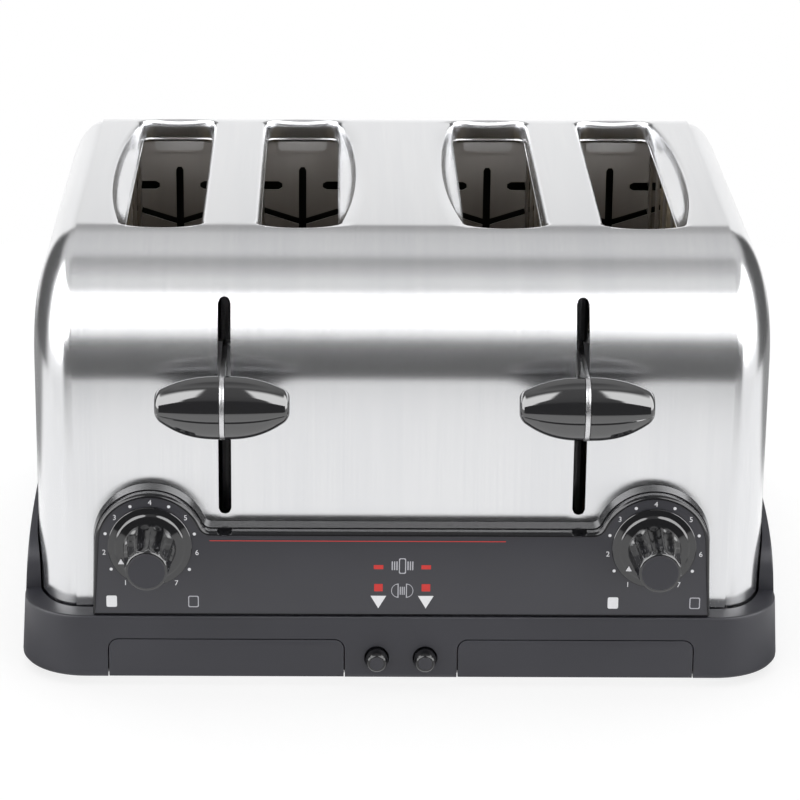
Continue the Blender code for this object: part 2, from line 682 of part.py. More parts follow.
def make_panel(mat):
    back = -SHELL_HALF_Y - GAP
    knee = PANEL_FRONT + PANEL_DRAFT
    rings = [[(x, y, z) for x, z in panel_outline(inset)]
             for y, inset in ((back, 0), (knee, 0), (PANEL_FRONT, PANEL_DRAFT))]
    panel = loft("control_panel", rings, mat)
    cut(panel, prism("recess", panel_outline(OVERLAY_MARGIN - GAP), "Y", PANEL_FRONT - OVERRUN,
                     PANEL_FRONT + OVERLAY_RECESS))
    cut(panel, prism("hollow", panel_outline(PANEL_WALL), "Y", PANEL_FRONT + OVERLAY_RECESS + PANEL_WALL,
                     -SHELL_HALF_Y + OVERRUN))
    for side in SIDES.values():
        notch = circle((side * LEVER_OFFSET, PANEL_TOP), PANEL_NOTCH_RADIUS, SMALL_STEPS)
        cut(panel, prism("notch", notch, "Y", PANEL_FRONT - OVERRUN, PANEL_FRONT + PANEL_NOTCH_DEPTH))
        cut(panel, panel_shaft_hole("hole", side))
    return panel


def make_overlay(mat):
    back = PANEL_FRONT + OVERLAY_RECESS - GAP / 3
    overlay = prism("panel_overlay", panel_outline(OVERLAY_MARGIN), "Y", back - OVERLAY_THICKNESS, back, mat)
    for side in SIDES.values():
        notch = circle((side * LEVER_OFFSET, PANEL_TOP), PANEL_NOTCH_RADIUS + GAP, SMALL_STEPS)
        cut(overlay, prism("notch", notch, "Y", PANEL_FRONT - OVERRUN, PANEL_FRONT + OVERRUN))
        cut(overlay, panel_shaft_hole("hole", side))
    return overlay


def make_colour_knob(word, side, mat):
    """Skirt, fluted grip, round end and shaft on one axis; its origin is on the overlay."""
    grip = KNOB_REACH - SKIRT_THICKNESS
    levels = [(SHAFT_RADIUS, -OVERLAY_FRONT - SHELL_HALF_Y + SHEET + 2 * GAP, 0), (SHAFT_RADIUS, -GAP, 0),
              (SKIRT_RADIUS, -GAP, 0), (SKIRT_RADIUS, -SKIRT_THICKNESS + SKIRT_BEVEL, 0),
              (SKIRT_RADIUS - SKIRT_BEVEL, -SKIRT_THICKNESS, 0),
              (KNOB_FOOT_RADIUS, -SKIRT_THICKNESS, KNOB_ROOT_FLUTE_SHARE)]
    for share, flute in zip(KNOB_LENGTH_SHARES, KNOB_FLUTE_SHARES):
        radius = KNOB_FOOT_RADIUS + (KNOB_FACE_RADIUS - KNOB_FOOT_RADIUS) * share
        levels.append((radius, -SKIRT_THICKNESS - grip * share, flute))
    levels.append((KNOB_FACE_RADIUS, -KNOB_REACH + KNOB_FACE_ROUND, 0))
    levels.append((KNOB_FACE_RADIUS - KNOB_FACE_ROUND, -KNOB_REACH, 0))
    rings = []
    for radius, y, flute in levels:
        ring = []
        for t in angles(KNOB_FLUTES * 2):
            wave = (1 - math.cos(KNOB_FLUTES * t)) / 2 * flute
            r = radius - KNOB_FLUTE_DEPTH * wave
            ring.append((r * math.sin(t), y, r * math.cos(t)))
        rings.append(ring)
    knob = loft(f"color_knob_{word}", rings, mat)
    knob.location = (side * DIAL_OFFSET, OVERLAY_FRONT, DIAL_HEIGHT)
    return knob


def make_pot(word, side, mat):
    front = -SHELL_HALF_Y + SHEET + GAP
    profile = [(SHAFT_RADIUS + GAP, front), (POT_RADIUS, front), (POT_RADIUS, front + POT_DEPTH),
               (SHAFT_RADIUS / 2, front + POT_DEPTH), (SHAFT_RADIUS / 2, front + POT_DEPTH / 2),
               (SHAFT_RADIUS + GAP, front + POT_DEPTH / 2)]
    pot = turned(f"potentiometer_{word}", profile, SMALL_STEPS, mat, closed=True)
    return shift(pot, side * DIAL_OFFSET, 0, DIAL_HEIGHT)


def make_board(word, side, mat):
    front = -SHELL_HALF_Y + SHEET + POT_DEPTH + 2 * GAP
    middle = side * DIAL_OFFSET
    return block(f"timer_board_{word}", (middle - BOARD_HALF_WIDTH, front, BOARD_BOTTOM),
                 (middle + BOARD_HALF_WIDTH, front + BOARD_THICKNESS, BOARD_TOP), mat)


def make_button(word, side, mat):
    """Plunger, collar and round face; its origin is where the base's front wall stands."""
    front = -BASE_HALF_Y + BASE_SIDE_DRAFT * BUTTON_HEIGHT / BASE_SIDE_HEIGHT
    inside = BASE_WALL + BUTTON_TRAVEL
    profile = [(BUTTON_FACE_RADIUS / 2, inside), (BUTTON_RADIUS, BASE_WALL), (BUTTON_RADIUS, -BUTTON_COLLAR),
               (BUTTON_FACE_RADIUS, -BUTTON_COLLAR), (BUTTON_FACE_RADIUS, -BUTTON_REACH + 2 * GAP),
               (BUTTON_FACE_RADIUS - 2 * GAP, -BUTTON_REACH)]
    button = turned(f"bagel_button_{word}", profile, SMALL_STEPS, mat)
    button.location = (side * BUTTON_OFFSET, front, BUTTON_HEIGHT)
    return button


def make_switch(word, side, mat):
    """A latching switch whose front is hollow, so that the button's plunger can sink into it."""
    front = -BASE_HALF_Y + BASE_WALL + 2 * SLIDE_GAP + BASE_SIDE_DRAFT * BUTTON_HEIGHT / BASE_SIDE_HEIGHT
    middle, bore = side * BUTTON_OFFSET, BUTTON_RADIUS + SLIDE_GAP
    half = bore + SWITCH_WALL
    switch = block(f"bagel_switch_{word}", (middle - half, front, BOTTOM_TOP + GAP),
                   (middle + half, front + SWITCH_LENGTH, BUTTON_HEIGHT + half), mat)
    well = circle((middle, BUTTON_HEIGHT), bore, SMALL_STEPS)
    plunger = circle((middle, BUTTON_HEIGHT), BUTTON_RADIUS / 2 + 2 * GAP, SMALL_STEPS)
    well_end = front + BUTTON_TRAVEL + BUTTON_TRAVEL / 2
    return cut(switch, prism("well", well, "Y", front - OVERRUN, well_end),
               prism("plunger", plunger, "Y", front, front + 2 * BUTTON_TRAVEL + BASE_WALL))


# Crumb trays

def tray_front_outline(side, inset):
    """The tray mouth or, drawn in by an inset, the tray's front: upper corners rounded, open below."""
    low, high = TRAY_INNER_X + inset, TRAY_OUTER_X - inset
    top, radius = TRAY_MOUTH_HEIGHT - inset, TRAY_CORNER
    points = [(low, -OVERRUN), (high, -OVERRUN)]
    points += arc((high - radius, top - radius), (radius, radius), 0, 90, CORNER_STEPS)
    points += arc((low + radius, top - radius), (radius, radius), 90, 180, CORNER_STEPS)
    return [(side * x, z) for x, z in points]


def tray_pan(side):
    """The pan's two side planes, inner one first."""
    return side * (TRAY_INNER_X + TRAY_PAN_INSET), side * (TRAY_OUTER_X - TRAY_PAN_INSET)


def make_tray(word, side, mat):
    lean = BASE_SIDE_DRAFT * TRAY_MOUTH_HEIGHT / BASE_SIDE_HEIGHT
    top = TRAY_MOUTH_HEIGHT + OVERRUN
    lean_top = BASE_SIDE_DRAFT * top / BASE_SIDE_HEIGHT
    slab = [(-BASE_HALF_Y + TRAY_FRONT_THICKNESS, SLIDE_GAP), (-BASE_HALF_Y, SLIDE_GAP),
            (-BASE_HALF_Y + lean_top, top), (-BASE_HALF_Y + lean_top + TRAY_FRONT_THICKNESS, top)]
    tray = prism(f"crumb_tray_{word}", slab, "X", -BASE_WIDTH, BASE_WIDTH, mat)
    outline = tray_front_outline(side, SLIDE_GAP)
    boolean(tray, prism("front", outline, "Y", -BASE_HALF_Y - OVERRUN, BASE_HALF_Y), "INTERSECT")
    inner, outer = sorted(tray_pan(side))
    front = -BASE_HALF_Y + lean + TRAY_FRONT_THICKNESS / 2
    back = -BASE_HALF_Y + TRAY_LENGTH
    floor = BOTTOM_TOP + GAP
    join(tray, block("pan", (inner, front, floor), (outer, back, floor + TRAY_PAN_HEIGHT)))
    low = (inner + TRAY_SHEET, -BASE_HALF_Y + lean + TRAY_FRONT_THICKNESS, floor + TRAY_SHEET)
    return cut(tray, block("well", low, (outer - TRAY_SHEET, back - TRAY_SHEET, TRAY_MOUTH_HEIGHT + OVERRUN)))


# Levers, carriages and racks

def blade_outline():
    """The lever blade from the side: a neck through the slot, then a rounded end inside the grip."""
    half_depth = GRIP_HALF_DEPTH + BLADE_PROUD
    half_height = GRIP_HALF_HEIGHT + BLADE_PROUD
    neck = GRIP_Y + GRIP_HALF_DEPTH
    inside = ROD_Y - SLIDER_HALF / 2
    radii = half_depth, half_height
    nose = arc((GRIP_Y, GRIP_HEIGHT), radii, BLADE_NOSE_START, 360 - BLADE_NOSE_START, SMALL_STEPS)
    return [(inside, BLADE_TOP), (neck, BLADE_TOP), *nose, (neck + BLADE_NECK_TAPER, BLADE_BOTTOM),
            (inside, BLADE_BOTTOM)]


def make_lever_arm(word, side, mat):
    """Blade, slider on its rod, cross bar and the two drop arms that carry the racks."""
    x = side * LEVER_OFFSET
    half = BLADE_THICKNESS / 2
    name = f"lever_arm_{word}"
    arm = prism(name, blade_outline(), "X", x - half, x + half, mat)
    join(arm, block("slider", (x - SLIDER_HALF, ROD_Y - SLIDER_HALF, SLIDER_BOTTOM),
                    (x + SLIDER_HALF, ROD_Y + SLIDER_HALF, SLIDER_TOP)))
    join(arm, block("web", (x - half, ROD_Y + SLIDER_HALF - SHEET, BAR_BOTTOM + SHEET),
                    (x + half, BAR_FRONT + SHEET, BAR_TOP - SHEET)))
    near, far = side * PAIR_OFFSET - SLOT_PITCH / 2, side * PAIR_OFFSET + SLOT_PITCH / 2
    drop_foot = RACK_REST - GAP
    frame = [(near - ARM_HALF_WIDTH, drop_foot), (near + ARM_HALF_WIDTH, drop_foot),
             (near + ARM_HALF_WIDTH, BAR_BOTTOM), (far - ARM_HALF_WIDTH, BAR_BOTTOM),
             (far - ARM_HALF_WIDTH, drop_foot), (far + ARM_HALF_WIDTH, drop_foot),
             (far + ARM_HALF_WIDTH, BAR_TOP), (near - ARM_HALF_WIDTH, BAR_TOP)]
    join(arm, prism("bar", frame, "Y", BAR_FRONT, BAR_FRONT + BAR_THICKNESS))
    bore = circle((x, ROD_Y), ROD_RADIUS + ROD_CLEARANCE, SMALL_STEPS)
    return cut(arm, prism("bore", bore, "Z", SLIDER_BOTTOM - OVERRUN, SLIDER_TOP + OVERRUN))


def grip_ring(x, half_depth, half_height):
    """One cross-section of a grip: an ellipse with a soft ridge along its front."""
    ring = []
    for t in angles(SMALL_STEPS):
        ridge = 1 + GRIP_RIDGE_SHARE * max(0.0, -math.cos(t)) ** GRIP_RIDGE_POWER
        ring.append((x, GRIP_Y + half_depth * ridge * math.cos(t), GRIP_HEIGHT + half_height * math.sin(t)))
    return ring


def make_grip_half(word, side, half_word, outward, mat):
    """Half of a boat-shaped lever grip: full beside the blade, drawn in along an arc to a small end."""
    start = BLADE_THICKNESS / 2 + GAP
    rings = []
    for share in GRIP_LENGTH_SHARES:
        taper = 1 - share ** GRIP_TAPER_POWER
        depth = GRIP_END_HALF_DEPTH + (GRIP_HALF_DEPTH - GRIP_END_HALF_DEPTH) * taper
        height = GRIP_END_HALF_HEIGHT + (GRIP_HALF_HEIGHT - GRIP_END_HALF_HEIGHT) * taper
        if share == GRIP_LENGTH_SHARES[-1]:
            depth, height = GRIP_BLUNT_SHARE * depth, GRIP_BLUNT_SHARE * height
        x = side * LEVER_OFFSET + outward * (start + (GRIP_HALF_WIDTH - start) * share)
        rings.append(grip_ring(x, depth, height))
    return loft(f"lever_grip_{word}_{half_word}", rings, mat)


def make_rack(number, centre, mat):
    """A bread rack: a spine through the end plates' slots with rungs that the bread stands on."""
    front = BAR_FRONT + BAR_THICKNESS + GAP
    back = CHAMBER_HALF_LENGTH + PLATE_SHEET + RACK_TAIL
    half = RACK_THICKNESS / 2
    top = RACK_REST + RACK_HEIGHT
    rack = block(f"bread_rack_{number}", (centre - half, front, RACK_REST), (centre + half, back, top), mat)
    span = 2 * (SLOT_HALF_LENGTH - SLOT_END_DEPTH)
    for i in range(RACK_RUNGS):
        y = -span / 2 + span * i / (RACK_RUNGS - 1)
        join(rack, block("rung", (centre - RACK_HALF_WIDTH, y - RACK_RUNG / 2, top - RACK_RUNG),
                         (centre + RACK_HALF_WIDTH, y + RACK_RUNG / 2, top + RACK_RUNG / 4)))
    return rack


def make_rod(word, side, mat):
    outline = circle((side * LEVER_OFFSET, ROD_Y), ROD_RADIUS, SMALL_STEPS)
    return prism(f"guide_rod_{word}", outline, "Z", ROD_BOTTOM, ROD_TOP, mat)


def least_gap(rings, steps):
    """The smallest distance between points of a helix's wire that lie about a turn or more apart."""
    least = math.inf
    for i, ring in enumerate(rings):
        for other in rings[i + steps - 1:]:
            least = min(least, min(math.dist(a, b) for a in ring for b in other))
    return least


def make_spring(word, side, mat):
    """A lift spring: one unbroken helix between the cross bar and the upper lug."""
    bottom = BAR_TOP + SPRING_WIRE / 2 + GAP
    top = UPPER_LUG - SPRING_WIRE / 2 - GAP
    middle = (side * (LEVER_OFFSET - SPRING_OFFSET), BAR_FRONT + BAR_THICKNESS / 2 - GAP)
    half = SPRING_WIRE / 2
    count = SPRING_TURNS * SPRING_STEPS
    rings = []
    for i in range(count + 1):
        t = 2 * math.pi * i / SPRING_STEPS
        z = bottom + (top - bottom) * i / count
        ring = []
        for a, b in ((-half, 0), (0, -half), (half, 0), (0, half)):
            radius = SPRING_RADIUS + a
            ring.append((middle[0] + radius * math.cos(t), middle[1] + radius * math.sin(t), z + b))
        rings.append(ring)
    print(f"lift_spring_{word}: {SPRING_TURNS} turns, least gap {least_gap(rings, SPRING_STEPS) / MM:.2f} mm")
    return loft(f"lift_spring_{word}", rings, mat)


def make_magnet(word, side, mat):
    """The hold-down electromagnet: a wound bobbin with its core standing a little proud."""
    x = side * LEVER_OFFSET
    back = FRONT_PLATE_FACE - GAP
    magnet = block(f"hold_magnet_{word}", (x - MAGNET_HALF_WIDTH, back - MAGNET_DEPTH, MAGNET_BOTTOM),
                   (x + MAGNET_HALF_WIDTH, back, MAGNET_TOP - MAGNET_CORE_RISE), mat)
    middle = back - MAGNET_DEPTH / 2
    half = MAGNET_CORE_HALF_WIDTH
    return join(magnet, block("core", (x - half, middle - half, MAGNET_BOTTOM),
                              (x + half, middle + half, MAGNET_TOP)))


# Toasting chamber

def plate_outline():
    foot = BOTTOM_TOP + GAP
    end = CHAMBER_HALF_WIDTH
    leg = end - LEG_END_WIDTH
    centre = LEG_CENTRE_HALF_WIDTH
    right = [(centre, foot), (centre, CHAMBER_FLOOR), (leg, CHAMBER_FLOOR), (leg, foot), (end, foot),
             (end, CHAMBER_TOP)]
    return right + [(-x, z) for x, z in right[::-1]]


def vee_outline(centre):
    """The V slot under the cross slots: both arms and the point in one outline."""
    rise = VEE_SLOPE_SHARE * CROSS_SLOT_END
    low, high = VEE_FOOT_HEIGHT - VEE_WIDTH / 2, VEE_FOOT_HEIGHT + VEE_WIDTH / 2
    end = CROSS_SLOT_END
    return [(centre, low), (centre + end, low + rise), (centre + end, high + rise), (centre, high),
            (centre - end, high + rise), (centre - end, low + rise)]


def make_end_plate(name, inner, outer, mat):
    """A chamber end plate with the slots for one rack and two guards per bread slot."""
    low, high = sorted((inner, outer))
    plate = prism(name, plate_outline(), "Y", low, high, mat)
    radius = RACK_SLOT_WIDTH / 2
    cross = CROSS_SLOT_WIDTH / 2
    reach = low - OVERRUN, high + OVERRUN
    for _, centre, _, _ in slot_centres():
        tab_y = sorted((inner, inner + (inner - outer)))
        tab_half = HANG_TAB_HEIGHT / 2
        tab = rounded_box((HANG_TAB_HALF_WIDTH, tab_half), (HANG_TAB_CORNER, HANG_TAB_CORNER), 2,
                          (centre, CHAMBER_TOP - tab_half))
        join(plate, prism("tab", tab, "Y", min(tab_y[0], low), max(tab_y[1], high)))
        ends = (centre, RACK_SLOT_BOTTOM + radius), (centre, RACK_SLOT_TOP - radius)
        cut(plate, prism("slot", stadium(*ends, radius, SLOT_END_STEPS), "Y", *reach))
        for hand in (-1, 1):
            ends = sorted(((centre + hand * (CROSS_SLOT_START + cross), CROSS_SLOT_HEIGHT),
                           (centre + hand * (CROSS_SLOT_END - cross), CROSS_SLOT_HEIGHT)))
            cut(plate, prism("slot", stadium(*ends, cross, SLOT_END_STEPS), "Y", *reach))
        cut(plate, prism("vee", vee_outline(centre), "Y", *reach))
    return plate


def add_lugs(plate):
    """The bent lugs on the front plate that hold the guide rods and the springs' upper ends."""
    for side in SIDES.values():
        x = side * LEVER_OFFSET
        reach = ROD_Y - ROD_RADIUS - LUG_LIP
        inward = x - side * (SPRING_OFFSET + LUG_MARGIN)
        outward = x + side * LUG_MARGIN
        low, high = sorted((inward, outward))
        back = FRONT_PLATE_FACE + PLATE_SHEET / 2
        join(plate, block("upper", (low, reach, UPPER_LUG), (high, back, UPPER_LUG + LUG_SHEET)))
        low, high = x - LUG_MARGIN, x + LUG_MARGIN
        join(plate, block("lower", (low, reach, LOWER_LUG), (high, back, LOWER_LUG + LUG_SHEET)))
        bore = circle((x, ROD_Y), ROD_RADIUS + ROD_CLEARANCE, SMALL_STEPS)
        cut(plate, prism("bore", bore, "Z", ROD_BOTTOM, ROD_TOP + OVERRUN))
    return plate


def make_side_plate(word, side, mat):
    low, high = sorted((side * (CHAMBER_HALF_WIDTH + GAP), side * (CHAMBER_HALF_WIDTH + GAP + PLATE_SHEET)))
    reach = CHAMBER_HALF_LENGTH + PLATE_SHEET
    return block(f"chamber_side_{word}", (low, -reach, BOTTOM_TOP + GAP), (high, reach, CHAMBER_TOP), mat)


def make_guard(number, word, centre, hand, mat):
    """A bread guard: a flat wire grid whose two upper wires end in pins that ride in the end plates."""
    low, high = sorted((centre + hand * GUARD_INNER, centre + hand * (GUARD_INNER + WIRE)))
    wire_x = GUARD_INNER + WIRE / 2
    upper = CROSS_SLOT_HEIGHT + PIN_RISE
    lower = VEE_FOOT_HEIGHT + VEE_SLOPE_SHARE * wire_x
    half = WIRE / 2
    frame = CHAMBER_HALF_LENGTH - GUARD_END_GAP
    pin = CHAMBER_HALF_LENGTH + PLATE_SHEET + PIN_REACH
    rows = [(GUARD_BOTTOM, GUARD_BOTTOM + WIRE, frame), (lower - half, lower + half, pin),
            (upper - half, upper + half, pin)]
    ys = []
    for i in range(GUARD_UPRIGHTS):
        middle = -frame + half + 2 * (frame - half) * i / (GUARD_UPRIGHTS - 1)
        ys += [middle - half, middle + half]
    ys = [-pin] + ys + [pin]
    zs = [z for row in rows for z in row[:2]] + [GUARD_TOP]
    bm = bmesh.new()
    grid = {(i, j, k): bm.verts.new((x, y, z)) for i, y in enumerate(ys) for j, z in enumerate(zs)
            for k, x in enumerate((low, high))}
    solid = set()
    for i in range(len(ys) - 1):
        for j in range(len(zs) - 1):
            in_row = j % 2 == 0 and rows[j // 2][2] >= max(abs(ys[i]), abs(ys[i + 1])) - GAP / 10
            in_column = i % 2 == 1
            if in_row or in_column:
                solid.add((i, j))
    for i, j in solid:
        corners = ((i, j), (i + 1, j), (i + 1, j + 1), (i, j + 1))
        for k in (0, 1):
            bm.faces.new([grid[a, b, k] for a, b in corners])
        beside = ((i, j - 1), (i + 1, j), (i, j + 1), (i - 1, j))
        for edge, other in enumerate(beside):
            if other not in solid:
                a, b = corners[edge], corners[(edge + 1) % 4]
                bm.faces.new((grid[(*a, 0)], grid[(*b, 0)], grid[(*b, 1)], grid[(*a, 1)]))
    loose = [vertex for vertex in bm.verts if not vertex.link_faces]
    bmesh.ops.delete(bm, geom=loose, context="VERTS")
    return to_object(f"bread_guard_{number}_{word}", bm, mat)


def make_heater(name, x, mat):
    """A mica board with its ribbon windings standing a little proud of both faces."""
    reach = CHAMBER_HALF_LENGTH - GAP
    heater = block(name, (x - MICA / 2, -reach, HEATER_BOTTOM), (x + MICA / 2, reach, HEATER_TOP), mat)
    wound = reach - RIBBON_WIDTH
    pitch = (HEATER_TOP - HEATER_BOTTOM) / RIBBON_TURNS
    for i in range(RIBBON_TURNS):
        z = HEATER_BOTTOM + pitch * (2 * i + 1) / 2
        join(heater, block("ribbon", (x - MICA / 2 - RIBBON, -wound, z - RIBBON_WIDTH / 2),
                           (x + MICA / 2 + RIBBON, wound, z + RIBBON_WIDTH / 2)))
    return heater


def make_all():
    clear_scene()
    steel = {"brushed": material("brushed stainless", (0.62, 0.62, 0.63), 0.34, 1.0),
             "polished": material("polished stainless", (0.68, 0.68, 0.69), 0.22, 1.0),
             "chamber": material("heat-darkened steel", (0.10, 0.09, 0.08), 0.5, 0.8),
             "plated": material("plated steel", (0.55, 0.55, 0.56), 0.35, 1.0)}
    moulded = material("satin black plastic", (0.045, 0.045, 0.055), 0.45, 0.0)
    glossy = material("gloss black plastic", (0.012, 0.012, 0.013), 0.12, 0.0)
    printed = material("printed overlay", (0.06, 0.06, 0.07), 0.4, 0.0)
    rubber = material("black rubber", (0.02, 0.02, 0.02), 0.8, 0.0)
    mica = material("mica", (0.35, 0.30, 0.22), 0.6, 0.0)
    resin = material("green circuit board", (0.03, 0.12, 0.05), 0.5, 0.0)
    copper = material("wound copper", (0.45, 0.18, 0.08), 0.4, 1.0)

    made = [make_base(moulded), make_bottom_plate(steel["plated"]), make_inlet(rubber),
            make_shell(steel["brushed"]), make_panel(glossy), make_overlay(printed)]
    foot_x = BASE_HALF_X - FOOT_INSET_X
    foot_y = BASE_HALF_Y - FOOT_INSET_Y
    for word, side in SIDES.items():
        made.append(make_foot(f"foot_front_{word}", side * foot_x, -foot_y, rubber))
        made.append(make_foot(f"foot_back_{word}", side * foot_x, foot_y, rubber))
        made.append(make_cap(word, side, steel["polished"]))
        made.append(make_colour_knob(word, side, glossy))
        made.append(make_pot(word, side, steel["plated"]))
        made.append(make_board(word, side, resin))
        made.append(make_button(word, side, glossy))
        made.append(make_switch(word, side, moulded))
        made.append(make_tray(word, side, moulded))
        made.append(make_lever_arm(word, side, steel["plated"]))
        made.append(make_grip_half(word, side, "outer", side, glossy))
        made.append(make_grip_half(word, side, "inner", -side, glossy))
        made.append(make_rod(word, side, steel["plated"]))
        made.append(make_spring(word, side, steel["plated"]))
        made.append(make_magnet(word, side, copper))
        made.append(make_side_plate(word, side, steel["chamber"]))
        for place, offset in (("outer", HEATER_REACH), ("middle", 0), ("inner", -HEATER_REACH)):
            made.append(make_heater(f"heater_{word}_{place}", side * (PAIR_OFFSET + offset), mica))
    inner_face, outer_face = CHAMBER_HALF_LENGTH, CHAMBER_HALF_LENGTH + PLATE_SHEET
    front_plate = make_end_plate("chamber_front", -inner_face, -outer_face, steel["chamber"])
    made.append(add_lugs(front_plate))
    made.append(make_end_plate("chamber_back", inner_face, outer_face, steel["chamber"]))
    for number, centre, _, _ in slot_centres():
        made.append(make_rack(number, centre, steel["plated"]))
        made.append(make_guard(number, "left", centre, -1, steel["plated"]))
        made.append(make_guard(number, "right", centre, 1, steel["plated"]))

    frame = bpy.data.objects.new("toaster_frame", None)
    bpy.context.scene.collection.objects.link(frame)
    frame.location = (0, MID_Y, FOOT_HEIGHT)
    for obj in made:
        obj.parent = frame
        obj.data.shade_smooth()
        obj.data.set_sharp_from_angle(angle=math.radians(35))
    print(f"frame stands at y {MID_Y / MM:.3f} mm, z {FOOT_HEIGHT / MM:.3f} mm")


make_all()
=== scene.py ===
"""A four-slot pop-up toaster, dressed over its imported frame.

Every shape is written in millimetres in the toaster's own frame: x to the right as seen from the
front, y from front to back with 0 at the middle of the housing, z up from the underside of the base.
`placed` takes such points to the frame's metres.
"""
import json
import math

import bmesh
import bpy
import numpy as np
from mathutils import Matrix, Vector


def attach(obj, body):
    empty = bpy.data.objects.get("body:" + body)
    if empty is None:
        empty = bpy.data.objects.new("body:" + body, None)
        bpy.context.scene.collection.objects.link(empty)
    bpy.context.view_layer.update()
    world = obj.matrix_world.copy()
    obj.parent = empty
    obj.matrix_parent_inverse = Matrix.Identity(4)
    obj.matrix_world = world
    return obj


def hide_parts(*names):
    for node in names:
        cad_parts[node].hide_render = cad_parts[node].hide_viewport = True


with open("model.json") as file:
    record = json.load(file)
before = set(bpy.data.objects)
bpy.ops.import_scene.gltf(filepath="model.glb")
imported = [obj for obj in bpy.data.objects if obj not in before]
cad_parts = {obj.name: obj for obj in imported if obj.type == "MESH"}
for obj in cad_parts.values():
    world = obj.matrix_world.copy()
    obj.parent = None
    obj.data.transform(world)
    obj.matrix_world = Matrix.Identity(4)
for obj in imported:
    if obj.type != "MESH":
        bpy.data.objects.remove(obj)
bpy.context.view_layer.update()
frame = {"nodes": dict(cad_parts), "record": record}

MM = 0.001
MICRON = 0.000001
ROOT = math.sqrt(0.5)
MIDDLE_Y = 9.447
FOOT_HEIGHT = 4.0
# Points closer than this are one, in new pieces and in copies of CAD nodes
MERGE, COPY_MERGE = 0.01, 0.02

# Wrap and end caps
WRAP_HALF_X, WRAP_HALF_Y, WRAP_TOP, WRAP_BOTTOM = 133.0, 126.0, 177.0, 21.7
SHOULDER_Y, SHOULDER_Z = 43.3, 53.0
SHEET = 1.0
CAP_BULGE, CAP_CORNER_Y, CAP_CORNER_Z, CAP_TUCK = 17.7, 36.0, 44.0, 5.0
CAP_SEAT = 1.3

# Bread slots: (number, centre, the side that is scooped)
SLOTS = ((1, -98.6, -1), (2, -42.3, 1), (3, 42.3, -1), (4, 98.6, 1))
SLOT_HALF_X, SLOT_HALF_Y, SLOT_END, SLOT_POWER, SCOOP_HALF_Y = 16.1, 85.0, 5.0, 3.6, 78.0
LIP_FLARE, END_FLARE, LIP_SCOOP, LIP_DEPTH, LIP_ROLL, LIP_BEAD = 2.2, 2.0, 8.1, 8.0, 3.6, 0.9

# Levers. A grip's top, bottom, front and back are each (full size, fall to the tip, power of the fall).
# The parting line is placed by the sine of the angle round the grip.
SIDES = (("left", -1), ("right", 1))
LEVER_X, LEVER_SLOT_HALF, LEVER_SLOT_LOW, LEVER_SLOT_HIGH = 71.8, 2.6, 67.3, 157.0
GRIP_Y, GRIP_Z, GRIP_START, GRIP_REACH, GRIP_TIP = -151.6, 122.0, 1.15, 26.6, 2.2
GRIP_SIZES = ((13.0, 6.4, 2.4), (13.0, 9.0, 2.6), (8.1, 2.6, 2.2), (8.1, 3.2, 2.0))
PARTING_AT, PARTING_WIDTH, PARTING_DEPTH = -0.26, 0.022, 0.30
BLADE_DEPTH, BLADE_TALL = 8.46, 13.06
NECK_START, NECK_RUN, NECK_END, NECK_LOW, NECK_DROP = -108.0, 2.6, -146.0, 137.2, 3.4

# Dials and knobs
DIAL_X, DIAL_Z, DIAL_START, DIAL_STEP = 102.0, 57.0, -147.0, 49.0
SKIRT_RADIUS, SKIRT_THICK, SKIRT_SLOPE = 16.8, 1.2, 0.22
STEP_RADIUS, STEP_RUN, STEP_RISE = 14.6, 1.2, 0.34
KNOB_FOOT, KNOB_TIP, KNOB_START, KNOB_RUN, KNOB_ROUND, SHAFT_RADIUS = 10.6, 8.8, 3.5, 21.9, 1.5, 3.0
FLUTES, FLUTE_DEPTH, RIDGE_ROUND = 12, 1.3, 0.004
RIDGE_TURN, POINTER_TURN = {"left": 5.0, "right": 10.0}, {"left": -116.5, "right": -128.5}
POINTER_RING, POINTER_LIFT = 13.0, 2.75
NUMBER_RING, NUMBER_TALL, DOT_RING, DOT_RADIUS = 19.0, 2.25, 18.8, 0.66

# Panel, film and buttons
PANEL_HALF_X, PANEL_TOP, PANEL_BOTTOM, PANEL_BLEND, ARCH_RADIUS = 125.7, 63.3, 27.0, 4.6, 22.6
PANEL_BACK, PANEL_FRONT, PANEL_DRAFT, PANEL_FLANGE, PANEL_SPREAD = -126.3, -136.394, 1.6, 4.5, 1.0
NOTCH_HALF, NOTCH_DEPTH = 3.0, 1.7
OVERLAY_FACE, FILM_INSET, INK = -135.994, 1.6, 0.05
BUTTON_X, BUTTON_Y, BUTTON_Z, BUTTON_HOLE, BUTTON_RADIUS, BUTTON_DOME = 9.9, -137.5, 8.6, 5.1, 4.6, 3.3

# Base
BASE_X, BASE_Y, BASE_CORNER, BASE_DRAFT = 156.99, 138.0, 28.0, 3.4 / 58.0
BASE_WALL, BASE_ROUND = 3.0, 2.0
RIM_FRONT, RIM_SIDE, ARCH_HALF, ARCH_POWER, RIM_EDGE = 26.5, 58.0, 107.0, 3.4, 0.8
LEDGE_TOP, LEDGE_FOOT, LEDGE_REACH, RECESS_GAP = 21.4, 18.4, 5.6, 0.6
MOUTH_NEAR, MOUTH_FAR, MOUTH_TOP, MOUTH_CORNER = 22.9, 119.8, 16.8, 4.5

